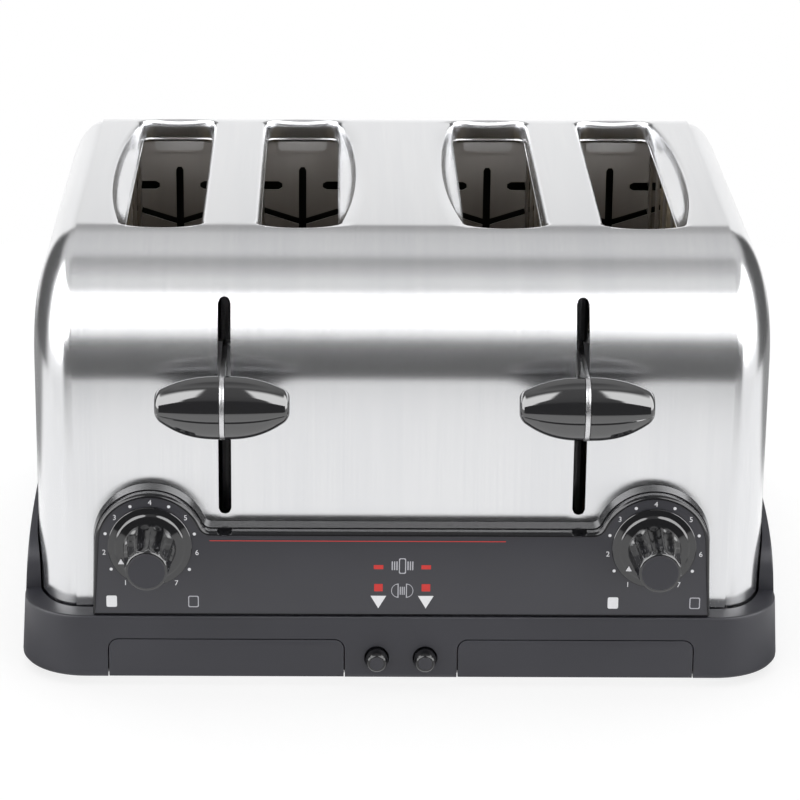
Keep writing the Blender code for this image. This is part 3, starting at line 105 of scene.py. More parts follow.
# Trays, guards and slot tabs
TRAY_FOOT, PAN_SHEET, PAN_CORNER = 0.35, 0.8, 4.0
PAN_NEAR, PAN_FAR, PAN_FRONT, PAN_BACK = 26.0, 117.3, -134.9, 84.0
GUARD_X, GUARD_HALF_Y, GUARD_LOW, GUARD_HIGH, GUARD_CORNER, WIRE = 18.4, 84.4, 40.0, 165.5, 7.0, 0.9
UPRIGHTS, PIN_HEIGHTS, PIN_START, PIN_END = (-50.0, -16.7, 16.7, 50.0), (134.09, 146.07), 82.6, 90.0
TAB_HALF, TAB_LOW, TAB_HIGH, TAB_CORNER, TAB_FRONT, TAB_BACK = 11.0, 162.6, 168.2, 1.8, 85.3, 86.1

# Camera
CAMERA_YAW, CAMERA_PITCH, CAMERA_ROLL = np.radians((0.03, 19.47, 0.22)).tolist()
CAMERA_PLACE, CAMERA_LENS, CAMERA_SHIFT = (-0.0292, -1.3664, 0.5623), 148.6, 0.085


# Points

def placed(points):
    """Millimetres in the toaster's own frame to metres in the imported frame."""
    return (np.asarray(points, float) + (0.0, MIDDLE_Y, FOOT_HEIGHT)) * MM


def arc(centre, radii, start, end, count):
    """Points on a circle or ellipse: centre plus radii times the cosine and sine of even degrees."""
    turn = np.radians(np.linspace(start, end, count))
    return np.asarray(centre, float) + np.stack([np.cos(turn), np.sin(turn)], -1) * radii


def lengths(points):
    """How far along an open polyline each of its points lies."""
    return np.concatenate([[0.0], np.cumsum(np.linalg.norm(np.diff(points, axis=0), axis=1))])


def along(points, count):
    """The same open polyline with its points spaced evenly by length."""
    steps = lengths(points)
    at = np.linspace(0.0, steps[-1], count)
    return np.stack([np.interp(at, steps, column) for column in points.T], -1)


def straight(start, end, count):
    """Evenly spaced points from start to end."""
    share = np.linspace(0.0, 1.0, count)[:, None]
    return np.asarray(start, float) * (1 - share) + np.asarray(end, float) * share


def divided(marks, counts):
    """All places from the first mark to the last, each run between two marks parted by its count."""
    runs = [np.linspace(a, b, count)[:-1] for a, b, count in zip(marks[:-1], marks[1:], counts)]
    return np.concatenate([*runs, marks[-1:]])


def patch(bottom, top, left, right):
    """A Coons patch: the two ruled surfaces between facing edges, less the one through the corners."""
    v = np.linspace(0.0, 1.0, len(left))[:, None, None]
    u = np.linspace(0.0, 1.0, len(bottom))[None, :, None]
    across = left[:, None] * (1 - u) + right[:, None] * u
    up = bottom[None] * (1 - v) + top[None] * v
    corners = (bottom[0] * (1 - u) * (1 - v) + bottom[-1] * u * (1 - v)
               + top[0] * (1 - u) * v + top[-1] * u * v)
    return across + up - corners


def ring_of(edges):
    """Four edges as one outline, counter-clockwise from the bottom left, each corner once."""
    bottom, right, top, left = [edges[key] for key in ("bottom", "right", "top", "left")]
    return np.vstack([bottom[:-1], right[:-1], top[:0:-1], left[:0:-1]])


def rounded(x, z, half_x, half_z, radius):
    """A box whose corners are quarter circles."""
    quarters = ((1, 1, 0), (-1, 1, 90), (-1, -1, 180), (1, -1, 270))
    return np.vstack([arc((x + i * (half_x - radius), z + k * (half_z - radius)), radius, at, at + 90, 6)
                      for i, k, at in quarters])


def stood(outline, axis, place):
    """A flat outline stood in space: the axis it lacks is filled with a place, or one for each point."""
    return np.insert(np.asarray(outline, float), axis, place, axis=1)


def turned(profile, count, ripple=0.0):
    """A profile of (radius, depth) turned about the y axis; a ripple is added to the radius."""
    turn = np.linspace(0, 2 * math.pi, count, endpoint=False)
    radius = profile[:, :1] + ripple + 0 * turn
    return np.stack([radius * np.sin(turn), profile[:, 1:] + 0 * radius, radius * np.cos(turn)], -1)


# Pieces

class Form:
    """Points and faces of one piece, gathered from whole grids and rings of points."""

    def __init__(self):
        self.points, self.faces, self.count = [], [], 0

    def add(self, points, faces):
        """Takes in points, and faces that number them from the form's count on."""
        self.points.append(np.asarray(points, float).reshape(-1, 3))
        self.faces += faces
        self.count += len(self.points[-1])

    def grid(self, points, round_columns=False, round_rows=False, flip=False):
        """Four-sided faces between neighbouring points of a grid of rows and columns."""
        index = self.count + np.arange(points[..., 0].size).reshape(points.shape[:2])
        if round_columns:
            index = np.hstack([index, index[:, :1]])
        if round_rows:
            index = np.vstack([index, index[:1]])
        corners = [index[:-1, :-1], index[:-1, 1:], index[1:, 1:], index[1:, :-1]]
        self.add(points, np.stack(corners[::-1] if flip else corners, -1).reshape(-1, 4).tolist())

    def face(self, ring, flip=False):
        """One flat face through a ring of points."""
        order = list(range(self.count, self.count + len(ring)))
        self.add(ring, [order[::-1] if flip else order])

    def block(self, rings):
        """A closed solid: a grid that runs round through rings of points, and a face at each end."""
        rings = np.asarray(rings)
        self.grid(rings, round_columns=True)
        self.face(rings[-1])
        self.face(rings[0], flip=True)
        return self

    def piece(self, name, finish, body="housing", slot=None, replaces=(), sharp=32.0, turn_out=True):
        """The object: close points merged, faces turned outwards, edges past an angle kept sharp."""
        mesh = bpy.data.meshes.new(name)
        mesh.from_pydata(placed(np.vstack(self.points)).tolist(), [], self.faces)
        form = merged(mesh, MERGE)
        bmesh.ops.dissolve_degenerate(form, dist=MERGE * MM / 10, edges=form.edges)
        if turn_out:
            bmesh.ops.recalc_face_normals(form, faces=form.faces)
        form.to_mesh(mesh)
        form.free()
        mesh.shade_smooth()
        mesh.set_sharp_from_angle(angle=math.radians(sharp))
        keep_open_edges_sharp(mesh)
        return dress(mesh, finish, body, replaces)


def merged(mesh, distance):
    """A mesh opened for work, with points closer than a distance made one."""
    form = bmesh.new()
    form.from_mesh(mesh)
    bmesh.ops.remove_doubles(form, verts=form.verts, dist=distance * MM)
    return form


def dress(mesh, finish, body, replaces):
    """A mesh's object in its finish, carried by a body, with the CAD nodes it stands in for."""
    made = bpy.data.objects.new(mesh.name, mesh)
    bpy.context.scene.collection.objects.link(made)
    mesh.materials.append(finish)
    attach(made, body)
    if replaces:
        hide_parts(*replaces)
    return made


def copied(node, name, finish, body):
    """A clean copy of a CAD node's mesh, its doubles merged and its flat faces joined."""
    mesh = frame["nodes"][node].data.copy()
    mesh.name = name
    mesh.materials.clear()
    form = merged(mesh, COPY_MERGE)
    bmesh.ops.dissolve_limit(form, angle_limit=math.radians(0.5), verts=form.verts, edges=form.edges)
    form.to_mesh(mesh)
    form.free()
    return dress(mesh, finish, body, (node,))


def read(rows, field, width=1, kind=np.float32):
    """One field of a mesh's points, edges, corners or faces as an array."""
    values = np.empty(len(rows) * width, kind)
    rows.foreach_get(field, values)
    return values.reshape(-1, width) if width > 1 else values


def keep_open_edges_sharp(mesh):
    """Marks the edges that only one face has, so that a wall given later has a crisp cut edge."""
    faces_on = np.bincount(read(mesh.loops, "edge_index", kind=np.int32), minlength=len(mesh.edges))
    marks = mesh.attributes.get("sharp_edge") or mesh.attributes.new("sharp_edge", "BOOLEAN", "EDGE")
    marks.data.foreach_set("value", read(marks.data, "value", kind=bool) | (faces_on == 1))


def thicken(piece, thickness, inside=None):
    """A wall given inwards from a sheet's outer face, its inner face in a finish of its own."""
    wall = piece.modifiers.new("solidify", "SOLIDIFY")
    wall.thickness, wall.offset = thickness * MM, -1.0
    if inside:
        piece.data.materials.append(inside)
        wall.material_offset = 1


# Shader arithmetic

class Value:
    """A shader socket that takes part in arithmetic; each operation adds its Math node."""

    def __init__(self, graph, socket):
        self.graph, self.socket = graph, socket

    def __add__(self, other):
        return self.graph.math("ADD", self, other)

    def __radd__(self, other):
        return self.graph.math("ADD", other, self)

    def __sub__(self, other):
        return self.graph.math("SUBTRACT", self, other)

    def __rsub__(self, other):
        return self.graph.math("SUBTRACT", other, self)

    def __mul__(self, other):
        return self.graph.math("MULTIPLY", self, other)

    def __rmul__(self, other):
        return self.graph.math("MULTIPLY", other, self)


def rgba(tone):
    """A grey or a colour with full alpha."""
    return (tone, tone, tone, 1.0) if isinstance(tone, (int, float)) else (*tone, 1.0)


class Graph:
    """A node tree whose nodes all come from one method."""

    def __init__(self, tree):
        self.tree = tree

    def node(self, kind, settings=None, sockets=None, output=0):
        """Any node: its settings are made first, then its sockets take values or links."""
        made = self.tree.nodes.new("ShaderNode" + kind)
        for key, value in (settings or {}).items():
            if key == "stops":
                self.set_stops(made.color_ramp, value)
            else:
                setattr(made, key, value)
        for key, value in (sockets or {}).items():
            self.feed(made.inputs[key], value)
        return Value(self, made.outputs[output])

    def set_stops(self, ramp, stops):
        """Places a colour ramp's stops; each is (position, grey or colour)."""
        while len(ramp.elements) < len(stops):
            ramp.elements.new(1.0)
        for element, (position, tone) in zip(ramp.elements, stops):
            element.position, element.color = position, rgba(tone)

    def feed(self, socket, value):
        """Links a value to a socket, or sets a number, a vector, a grey or a colour on it."""
        if isinstance(value, Value):
            self.tree.links.new(value.socket, socket)
        else:
            socket.default_value = rgba(value) if socket.type == "RGBA" else value

    def math(self, operation, *values):
        """One Math node on one or two values."""
        return self.node("Math", {"operation": operation}, dict(enumerate(values)))

    def part(self, vector, axis):
        """A vector's x, y or z by its place."""
        return self.node("SeparateXYZ", None, {0: vector}, output=axis)

    def ramp(self, factor, *stops):
        """A colour ramp over a factor."""
        return self.node("ValToRGB", {"stops": stops}, {0: factor})

    def remap(self, value, low, high):
        """A smooth step from 0 at one limit of a value to 1 at the other."""
        return self.node("MapRange", {"interpolation_type": "SMOOTHSTEP", "clamp": True},
                         {0: value, 1: low, 2: high})

    def mix(self, factor, first, second):
        """Two colours blended by a factor."""
        return self.node("Mix", {"data_type": "RGBA"}, {0: factor, 6: first, 7: second}, output=2)

    def compass(self, x, y):
        """Degrees to either side of the toaster's front, from 0 in front to 180 behind."""
        return self.math("ABSOLUTE", self.math("ARCTAN2", x, -1 * y)) * (180 / math.pi)


class Finish(Graph):
    """One procedural material over a Principled shader; constants sit on the shader's own sockets."""

    def __init__(self, name, **constants):
        self.material = bpy.data.materials.new(name)
        self.material.use_nodes = True
        super().__init__(self.material.node_tree)
        self.shader = self.tree.nodes["Principled BSDF"]
        self.place = self.node("TexCoord", output="Object")
        for key, value in constants.items():
            self.set(key, value)

    def set(self, name, value):
        """Feeds the shader's socket of that name."""
        self.feed(self.shader.inputs[name.replace("_", " ").title().replace("Ior", "IOR")], value)

    def noise(self, cells, detail=2.0, roughness=0.5):
        """A noise from 0 to 1 with cells per metre, one number or three along x, y and z."""
        cells = (cells, cells, cells) if isinstance(cells, (int, float)) else cells
        spot = self.node("VectorMath", {"operation": "MULTIPLY"}, {0: self.place, 1: cells})
        return self.node("TexNoise", None, {"Vector": spot, "Scale": 1.0, "Detail": detail,
                                            "Roughness": roughness})

    def bump(self, height, microns, strength=1.0):
        """Feeds a height in [0, 1] to the normal, its full height given in microns."""
        self.set("Normal", self.node("Bump", None, {"Height": height, "Distance": microns * MICRON,
                                                    "Strength": strength}))


# Finishes

# Radians of a winding's sine to a metre of height: two turns of wire to a millimetre
WINDING = 12566.0


def blended(name, fields, colours, rough, bump=None, **constants):
    """A finish of noise fields, each (cells per metre, detail, roughness). The first field blends two
    colours. `rough` is a base and each field's gain. `bump` is (field, microns, strength)."""
    f = Finish(name, **constants)
    made = [f.noise(*field) for field in fields]
    f.set("base_color", f.mix(made[0], *colours))
    base, *gains = rough
    f.set("roughness", sum((field * gain for field, gain in zip(made, gains) if gain), base))
    if bump:
        f.bump(made[bump[0]], *bump[1:])
    return f.material


def brushed_steel():
    """Stainless sheet with long brush lines that run front to back and down the front."""
    f = Finish("brushed stainless", metallic=1.0, anisotropic=0.86)
    hair, line, broad = f.noise((4200, 22, 22)), f.noise((1500, 8, 8)), f.noise((70, 6, 6))
    tone = f.remap(hair * 0.3 + line * 0.3 + broad * 0.4, 0.3, 0.7)
    f.set("base_color", f.mix(tone, (0.595, 0.60, 0.615), (0.645, 0.647, 0.655)))
    f.set("roughness", 0.215 + line * 0.04)
    f.bump(hair, 4.0)
    return f.material


def gloss_plastic(name, ior, roughness):
    """Polished black plastic with dust-fine pits and a faint orange peel."""
    return blended(name, [(1800.0, 2.0, 0.6), (160.0, 2.0, 0.5)],
                   [(0.006, 0.006, 0.007), (0.012, 0.012, 0.014)], (roughness, 0.04), (1, 12.0, 0.6),
                   ior=ior)


def ink(name, *colour):
    """Screen-printed ink, a little uneven in tone."""
    darker = tuple(0.86 * c for c in colour)
    return blended(name, [(900.0, 3.0, 0.6), (70.0, 2.0, 0.5)], [darker, colour], (0.38, 0.0, 0.15),
                   specular_ior_level=0.4)


def dark_chamber_steel():
    """Sheet inside the toasting chamber, browned by heat, and darker towards the floor as painted shade
    deep in the chamber.
    """
    f = Finish("heat browned steel with painted shade", metallic=0.6)
    cloud, streak = f.noise(28.0, 4.0, 0.6), f.noise((300, 300, 18))
    # Height sets most of the tone: painted shade, darkest at the chamber's floor
    tone = f.remap(f.part(f.place, 2), 0.05, 0.18) * 0.75 + cloud * 0.2 + streak * 0.05
    f.set("base_color", f.ramp(tone, (0.0, (0.08, 0.065, 0.05)), (0.5, (0.22, 0.19, 0.165)),
                               (1.0, (0.46, 0.44, 0.42))))
    f.set("roughness", 0.42 + cloud * 0.16)
    f.bump(cloud, 40.0, 0.5)
    return f.material


def mica():
    """The heaters' boards: flaky amber, paler where two noises run high."""
    f = Finish("mica", specular_ior_level=0.5)
    flake, cloud = f.noise((120, 120, 300), 4.0, 0.65), f.noise(24.0, 3.0)
    f.set("base_color", f.ramp(flake * 0.6 + cloud * 0.4, (0.3, (0.16, 0.12, 0.075)),
                               (0.7, (0.42, 0.36, 0.26))))
    f.set("roughness", 0.45 + flake * 0.2)
    f.bump(flake, 30.0, 0.5)
    return f.material


def circuit_board():
    """Green lacquer, lighter and raised where a noise passes a limit, as tracks."""
    f = Finish("circuit board", specular_ior_level=0.5)
    mask = f.remap(f.noise((700, 700, 120), 0.0), 0.52, 0.55)
    f.set("base_color", f.mix(mask, (0.018, 0.085, 0.030), (0.035, 0.150, 0.060)))
    f.set("roughness", 0.30 + mask * 0.10)
    f.bump(mask, 40.0, 0.6)
    return f.material


def copper_winding():
    """Lacquered wire wound round a bobbin: level turns as ridges, a sine of the height."""
    f = Finish("copper winding", metallic=1.0)
    turns = f.math("SINE", f.part(f.place, 2) * WINDING)
    cloud = f.noise(80.0)
    f.set("base_color", f.mix(cloud, (0.42, 0.17, 0.07), (0.62, 0.29, 0.13)))
    f.set("roughness", 0.30 + cloud * 0.12)
    f.bump(turns * 0.5 + 0.5, 200.0, 0.7)
    return f.material


WRAP_STEEL, CHAMBER, MICA, BOARD, COPPER = (
    brushed_steel(), dark_chamber_steel(), mica(), circuit_board(), copper_winding())
GLOSS = gloss_plastic("gloss black plastic", 1.9, 0.04)
PANEL_GLOSS = gloss_plastic("panel plastic", 1.45, 0.10)
KNOB_GLOSS = gloss_plastic("knob plastic", 1.65, 0.04)
WHITE_INK = ink("white ink", 0.86, 0.86, 0.88)
GREY_INK = ink("light grey ink", 0.50, 0.50, 0.54)
RED_INK = ink("red ink", 0.62, 0.035, 0.03)

# End caps: the same steel as the wrap, finer brushed round the dome
CAP_STEEL = blended("polished stainless", [((900, 900, 60), 3.0, 0.6), (14.0,)],
                    [(0.59, 0.595, 0.61), (0.65, 0.652, 0.66)], (0.15, 0.03, 0.06), (0, 1.0),
                    metallic=1.0)
# Satin black moulding: slow clouds and a fine spark texture
MOULDED = blended("satin black plastic", [(22.0, 3.0), (2600.0, 2.0, 0.6)],
                  [(0.020, 0.020, 0.025), (0.030, 0.030, 0.037)], (0.36, 0.08, 0.06), (1, 20.0, 0.5),
                  specular_ior_level=0.4)
# Printed polycarbonate film: dark grey ink under a satin face
FILM = blended("printed overlay", [(30.0,), (1500.0,)], [(0.024, 0.024, 0.030), (0.032, 0.032, 0.040)],
               (0.28, 0.0, 0.08), (1, 8.0), specular_ior_level=0.5)
# Zinc-plated wire and strip, dulled and slightly blued by heat
PLATED = blended("plated steel", [(60.0, 3.0, 0.6), (900.0,)], [(0.42, 0.41, 0.40), (0.66, 0.66, 0.68)],
                 (0.24, 0.0, 0.14), (1, 6.0), metallic=1.0)
# The levers' bare stainless, linished along its edge
BLADE = blended("blade stainless", [((300, 2400, 300), 3.0, 0.6)],
                [(0.48, 0.48, 0.49), (0.60, 0.60, 0.61)], (0.22, 0.14), (0, 3.0), metallic=1.0)
# The bare cut edge of a chamber plate
SHEARED = blended("sheared edge", [(120.0, 3.0, 0.6)], [(0.55, 0.53, 0.50), (0.78, 0.76, 0.73)],
                  (0.35, 0.2), (0, 20.0, 0.5), metallic=0.7)
# The folded tab behind each slot, less browned than the plate under it
TAB_STEEL = blended("tab steel", [(60.0, 3.0, 0.6)], [(0.36, 0.35, 0.34), (0.50, 0.49, 0.48)],
                    (0.40, 0.2), (0, 20.0, 0.5), metallic=0.5)
# The unpolished inner face of wrap and caps, and the chamber's sides: near black, painted shade for the
# dark inside of the housing
INSIDE = blended("sheet inside", [(20.0, 4.0, 0.6)], [(0.030, 0.028, 0.026), (0.060, 0.056, 0.052)],
                 (0.5, 0.2), (0, 30.0, 0.5), metallic=0.5)
# Feet and bush: dusty rubber with a coarse grain
RUBBER = blended("black rubber", [(60.0, 3.0, 0.6), (700.0, 3.0, 0.6)],
                 [(0.012, 0.012, 0.012), (0.040, 0.039, 0.038)], (0.70, 0.0, 0.2), (1, 60.0, 0.6),
                 specular_ior_level=0.35)

SLOT_FINISH = {
    "satin_black_plastic": MOULDED, "gloss_black_plastic": GLOSS, "printed_overlay": FILM,
    "brushed_stainless": WRAP_STEEL, "polished_stainless": CAP_STEEL, "chamber_steel": CHAMBER,
    "plated_steel": PLATED, "black_rubber": RUBBER, "mica": MICA, "circuit_board": BOARD,
    "copper_winding": COPPER}


def finish_the_frame():
    """Every CAD node takes the finish of its material slot in the record; the chamber's sides take the
    near-black inside finish instead, as painted shade.
    """
    slots = {row["node"]: row["material_slot"] for row in frame["record"]["subparts"]}
    for name, node in frame["nodes"].items():
        node.data.materials.clear()
        # The chamber's sides are painted near black as shade
        painted_shade_side = name.startswith("chamber_side")
        node.data.materials.append(INSIDE if painted_shade_side else SLOT_FINISH[slots[name]])


# Wrap

# Counts of points along the edges of the sheet's patches, and the rows of patches that hold the holes.
# BACK_BREAK is the depth on the top behind which the last row begins.
SHOULDER_POINTS = 400
SLOT_ACROSS, SLOT_LONG, LEVER_ACROSS, LEVER_TALL, GAP_ACROSS = 15, 53, 5, 49, 9
SHEET_TALL = (8, LEVER_TALL, 21, SLOT_LONG, 17, 33)
LEVER_ROW, SLOT_ROW, BACK_BREAK = 1, 3, 104.0
# The scooped side's section: (share of the way down its surface, share outwards, share of the depth)
DISH = np.array([(0.0, 1.0, 0.0), (0.06, 0.97, 0.01), (0.14, 0.92, 0.08), (0.25, 0.84, 0.28),
                 (0.38, 0.72, 0.48), (0.52, 0.55, 0.62), (0.70, 0.32, 0.76), (0.86, 0.10, 0.90),
                 (1.0, 0.0, 1.0)])


def wrap_profile():
    """Up the front, over the front shoulder, along the top, over the back shoulder and down the back."""
    y, z, radii = WRAP_HALF_Y - SHOULDER_Y, WRAP_TOP - SHOULDER_Z, (SHOULDER_Y, SHOULDER_Z)
    return np.vstack([[(-WRAP_HALF_Y, WRAP_BOTTOM)], arc((-y, z), radii, 180, 90, SHOULDER_POINTS),
                      arc((y, z), radii, 90, 0, SHOULDER_POINTS), [(WRAP_HALF_Y, WRAP_BOTTOM)]])


PROFILE = wrap_profile()
PROFILE_LENGTH = lengths(PROFILE)
HALF_ROWS = len(PROFILE) // 2


def on_wrap(points):
    """(x, length along the profile) to points on the wrap's outer face."""
    y = np.interp(points[..., 1], PROFILE_LENGTH, PROFILE[:, 0])
    z = np.interp(points[..., 1], PROFILE_LENGTH, PROFILE[:, 1])
    return np.stack([points[..., 0], y, z], -1)


def length_at_height(z):
    """Profile length of a height on the front half."""
    return np.interp(z, PROFILE[:HALF_ROWS, 1], PROFILE_LENGTH[:HALF_ROWS])


def length_at_depth(y):
    """Profile length of a depth on the top, where depth grows with length."""
    return np.interp(y, PROFILE[1:-1, 0], PROFILE_LENGTH[1:-1])


def bend_of(flare, offset, start, end, count):
    """Points of a slot's round end: a superellipse whose power falls to 2 from the inner edge out."""
    turn = np.radians(np.linspace(start, end, count))
    power = 2 / (SLOT_POWER - (SLOT_POWER - 2) * flare)
    half, depth = SLOT_HALF_X + LIP_FLARE * flare + offset, SLOT_END + END_FLARE * flare + offset
    return np.stack([half * np.sign(turn) * np.abs(np.sin(turn)) ** power,
                     depth * np.abs(np.cos(turn)) ** power], -1)


def slot_side(scoop, side, flare, offset):
    """One long side of a slot, front to back: a straight run, bowed out on the scooped side as
    one less the squared share of its length, with an eighth of a superellipse at each end."""
    run = SLOT_HALF_Y - SLOT_END
    bend = bend_of(flare, offset, 45, 90, 30)
    y = np.linspace(-run, run, 120)[1:-1]
    middle = stood(y[:, None], 0, SLOT_HALF_X + LIP_FLARE * flare + offset)
    if side == scoop:
        middle[:, 0] += (LIP_SCOOP - LIP_FLARE) * flare * np.maximum(0.0, 1 - (y / SCOOP_HALF_Y) ** 2)
    whole = np.vstack([bend * (1, -1) + (0, -run), middle, bend[::-1] + (0, run)])
    return along(whole, SLOT_LONG) * (side, 1)


def slot_end(end, flare, offset):
    """One short end of a slot from left to right: the middle quarter of its superellipse."""
    points = bend_of(flare, offset, -45, 45, 60)
    return along(points * (1, end) + (0, end * (SLOT_HALF_Y - SLOT_END)), SLOT_ACROSS)


def slot_edges(scoop, flare=1.0, offset=0.0):
    """A slot's four edges in (x, y) about its middle. The flare is 0 at the lip's inner edge and 1 at
    its outer one; an offset widens the outline all round."""
    return {"left": slot_side(scoop, -1, flare, offset), "right": slot_side(scoop, 1, flare, offset),
            "bottom": slot_end(-1, flare, offset), "top": slot_end(1, flare, offset)}


def lever_slot_edges(x):
    """The four edges of a lever slot in (x, profile length), corners at 45 degrees on its round ends."""
    r = LEVER_SLOT_HALF
    low, high = (x, LEVER_SLOT_LOW + r), (x, LEVER_SLOT_HIGH - r)
    right = along(np.vstack([arc(low, r, 315, 360, 12), arc(high, r, 0, 45, 12)]), LEVER_TALL)
    edges = {"bottom": arc(low, r, 225, 315, LEVER_ACROSS), "top": arc(high, r, 135, 45, LEVER_ACROSS),
             "left": right * (-1, 1) + (2 * x, 0), "right": right}
    return {key: np.stack([e[:, 0], length_at_height(e[:, 1])], -1) for key, e in edges.items()}


def holed_sheet(form, corners, across, tall, holes, shape, flip=False):
    """A sheet of Coons patches between corner points, with holes where the holes table has edges."""
    def edge(i, j, name, start, end, count):
        """A neighbouring hole's edge, or a straight one."""
        kept = holes.get((i, j), {}).get(name)
        return straight(start, end, count) if kept is None else kept

    for j, rows in enumerate(tall):
        for i, columns in enumerate(across):
            if (i, j) in holes:
                continue
            a, b, c, d = corners[j, i], corners[j, i + 1], corners[j + 1, i], corners[j + 1, i + 1]
            bottom, top = edge(i, j - 1, "top", a, b, columns), edge(i, j + 1, "bottom", c, d, columns)
            left, right = edge(i - 1, j, "right", a, c, rows), edge(i + 1, j, "left", b, d, rows)
            form.grid(shape(patch(bottom, top, left, right)), flip=flip)


def lip_rings(centre, scoop):
    """A slot's lip from the flat down: a quarter ellipse, a short wall and a rolled bead. The scooped
    side's section is blended, by its bow, with a dish: a steep edge, then a gentle slope inwards."""
    outer, inner = ring_of(slot_edges(scoop)), ring_of(slot_edges(scoop, 0.0))
    # The dish is whole over the middle and runs out to nothing at the scoop's ends
    bow = np.sqrt(np.maximum(0.0, 1 - (inner[:, 1] / SCOOP_HALF_Y) ** 2))
    bow = np.where(inner[:, 0] * scoop > 0, np.clip(bow * 1.25, 0, 1), 0.0)[:, None]
    rest = on_wrap(np.stack([outer[:, 0], length_at_depth(outer[:, 1])], -1))[:, 2:]

    def ring(way, drop, offset=0.0):
        """One turn round the lip, a share of the way out and so far below the sheet."""
        flat = ring_of(slot_edges(scoop, 0.0, offset)) if offset else inner + (outer - inner) * way
        return np.hstack([flat + (centre, 0), rest - drop])

    share, rolled = np.linspace(0, 1, 22), 0.7
    turn = np.radians(90 * np.clip(share / rolled, 0, 1))
    way = 1 - np.sin(turn)
    below = np.clip((share - rolled) / (1 - rolled), 0, 1)
    drop = LIP_ROLL * (1 - np.cos(turn)) + (LIP_DEPTH - LIP_ROLL) * below
    dish_way = np.interp(share, DISH[:, 0], DISH[:, 1])
    dish_drop = LIP_DEPTH * np.interp(share, DISH[:, 0], DISH[:, 2])
    lip = [ring(a + (c - a) * bow, b + (d - b) * bow)
           for a, b, c, d in zip(way, drop, dish_way, dish_drop)]
    half = LIP_BEAD / 2
    lip += [ring(0.0, LIP_DEPTH + half * (1 - math.cos(a)), half * math.sin(a))
            for a in np.radians(np.linspace(0, 180, 7))[1:]]
    return np.stack(lip)


def lay_brushing(mesh):
    """Sets the mesh's texture space far in front, so that its gloss spreads across the brush lines
    everywhere: the sheet is brushed along its profile, front to back and up and down."""
    mesh.use_auto_texspace = False
    mesh.texspace_location = (0.0, -10.0, 0.0)
    mesh.texspace_size = (1.0, 1.0, 1.0)


def make_wrap():
    """The bent sheet: patches on the profile between slots and lever slots, and each slot's lip."""
    reach = (SLOT_HALF_X + LIP_FLARE) * ROOT
    marks = [(centre, reach, SLOT_ACROSS, number) for number, centre, _ in SLOTS]
    marks += [(side * LEVER_X, LEVER_SLOT_HALF * ROOT, LEVER_ACROSS, word) for word, side in SIDES]
    columns, across, column_of = [-WRAP_HALF_X], [], {}
    for centre, half, count, key in sorted(marks):
        column_of[key] = len(columns)
        columns += [centre - half, centre + half]
        across += [GAP_ACROSS, count]
    slot_y = SLOT_HALF_Y - SLOT_END + (SLOT_END + END_FLARE) * ROOT
    bend = LEVER_SLOT_HALF * (1 - ROOT)
    rows = [0.0, *length_at_height([LEVER_SLOT_LOW + bend, LEVER_SLOT_HIGH - bend]),
            *length_at_depth([-slot_y, slot_y, BACK_BREAK]), PROFILE_LENGTH[-1]]
    corners = np.stack(np.meshgrid([*columns, WRAP_HALF_X], rows), -1)
    holes = {(column_of[word], LEVER_ROW): lever_slot_edges(side * LEVER_X) for word, side in SIDES}
    form = Form()
    for number, centre, scoop in SLOTS:
        holes[column_of[number], SLOT_ROW] = {
            key: np.stack([edge[:, 0] + centre, length_at_depth(edge[:, 1])], -1)
            for key, edge in slot_edges(scoop).items()}
    holed_sheet(form, corners, [*across, GAP_ACROSS], SHEET_TALL, holes, on_wrap)
    for _, centre, scoop in SLOTS:
        form.grid(lip_rings(centre, scoop), round_columns=True)
    wrap = form.piece("wrap", WRAP_STEEL, slot="brushed_stainless", replaces=("shell",), sharp=60,
                      turn_out=False)
    lay_brushing(wrap.data)
    thicken(wrap, SHEET, INSIDE)


# End caps

def make_end_cap(word, side):
    """The wrap's profile drawn in along quarter ellipses: outwards by the sine of a turn, while its
    height and depth shrink by one less the cosine."""
    turn = np.radians(np.linspace(0, 90, 25))
    x = WRAP_HALF_X + np.concatenate([(-CAP_TUCK, -CAP_TUCK / 2), CAP_BULGE * np.sin(turn)])
    share = np.concatenate([(0.0, 0.0), 1 - np.cos(turn)])[:, None]
    drawn_y = CAP_SEAT + (CAP_CORNER_Y - CAP_SEAT) * share
    drawn_z = CAP_SEAT + (CAP_CORNER_Z - CAP_SEAT) * share
    front, top = WRAP_HALF_Y - drawn_y, WRAP_TOP - drawn_z
    round_y, round_z = SHOULDER_Y - drawn_y, SHOULDER_Z - drawn_z
    bend = np.radians(np.linspace(0, 90, 40))[None]
    up_z = WRAP_BOTTOM + (top - round_z - WRAP_BOTTOM) * np.linspace(0, 1, 12)[None, :-1]
    shoulder_y, shoulder_z = -front + round_y * (1 - np.cos(bend)), top - round_z * (1 - np.sin(bend))
    flat_y = -(front - round_y) * (1 - 2 * np.linspace(0, 1, 22)[None, 1:-1])
    y = np.hstack([-front + 0 * up_z, shoulder_y, flat_y, -shoulder_y[:, ::-1], front + 0 * up_z])
    z = np.hstack([up_z, shoulder_z, top + 0 * flat_y, shoulder_z[:, ::-1], up_z[:, ::-1]])
    points = np.stack([side * x[:, None] + 0 * y, y, z], -1)
    form = Form()
    form.grid(points, flip=side > 0)
    form.face(points[-1], flip=side > 0)
    cap = form.piece(f"cap_{word}", CAP_STEEL, slot="polished_stainless", replaces=(f"end_cap_{word}",),
                     turn_out=False)
    thicken(cap, SHEET, INSIDE)


# Base

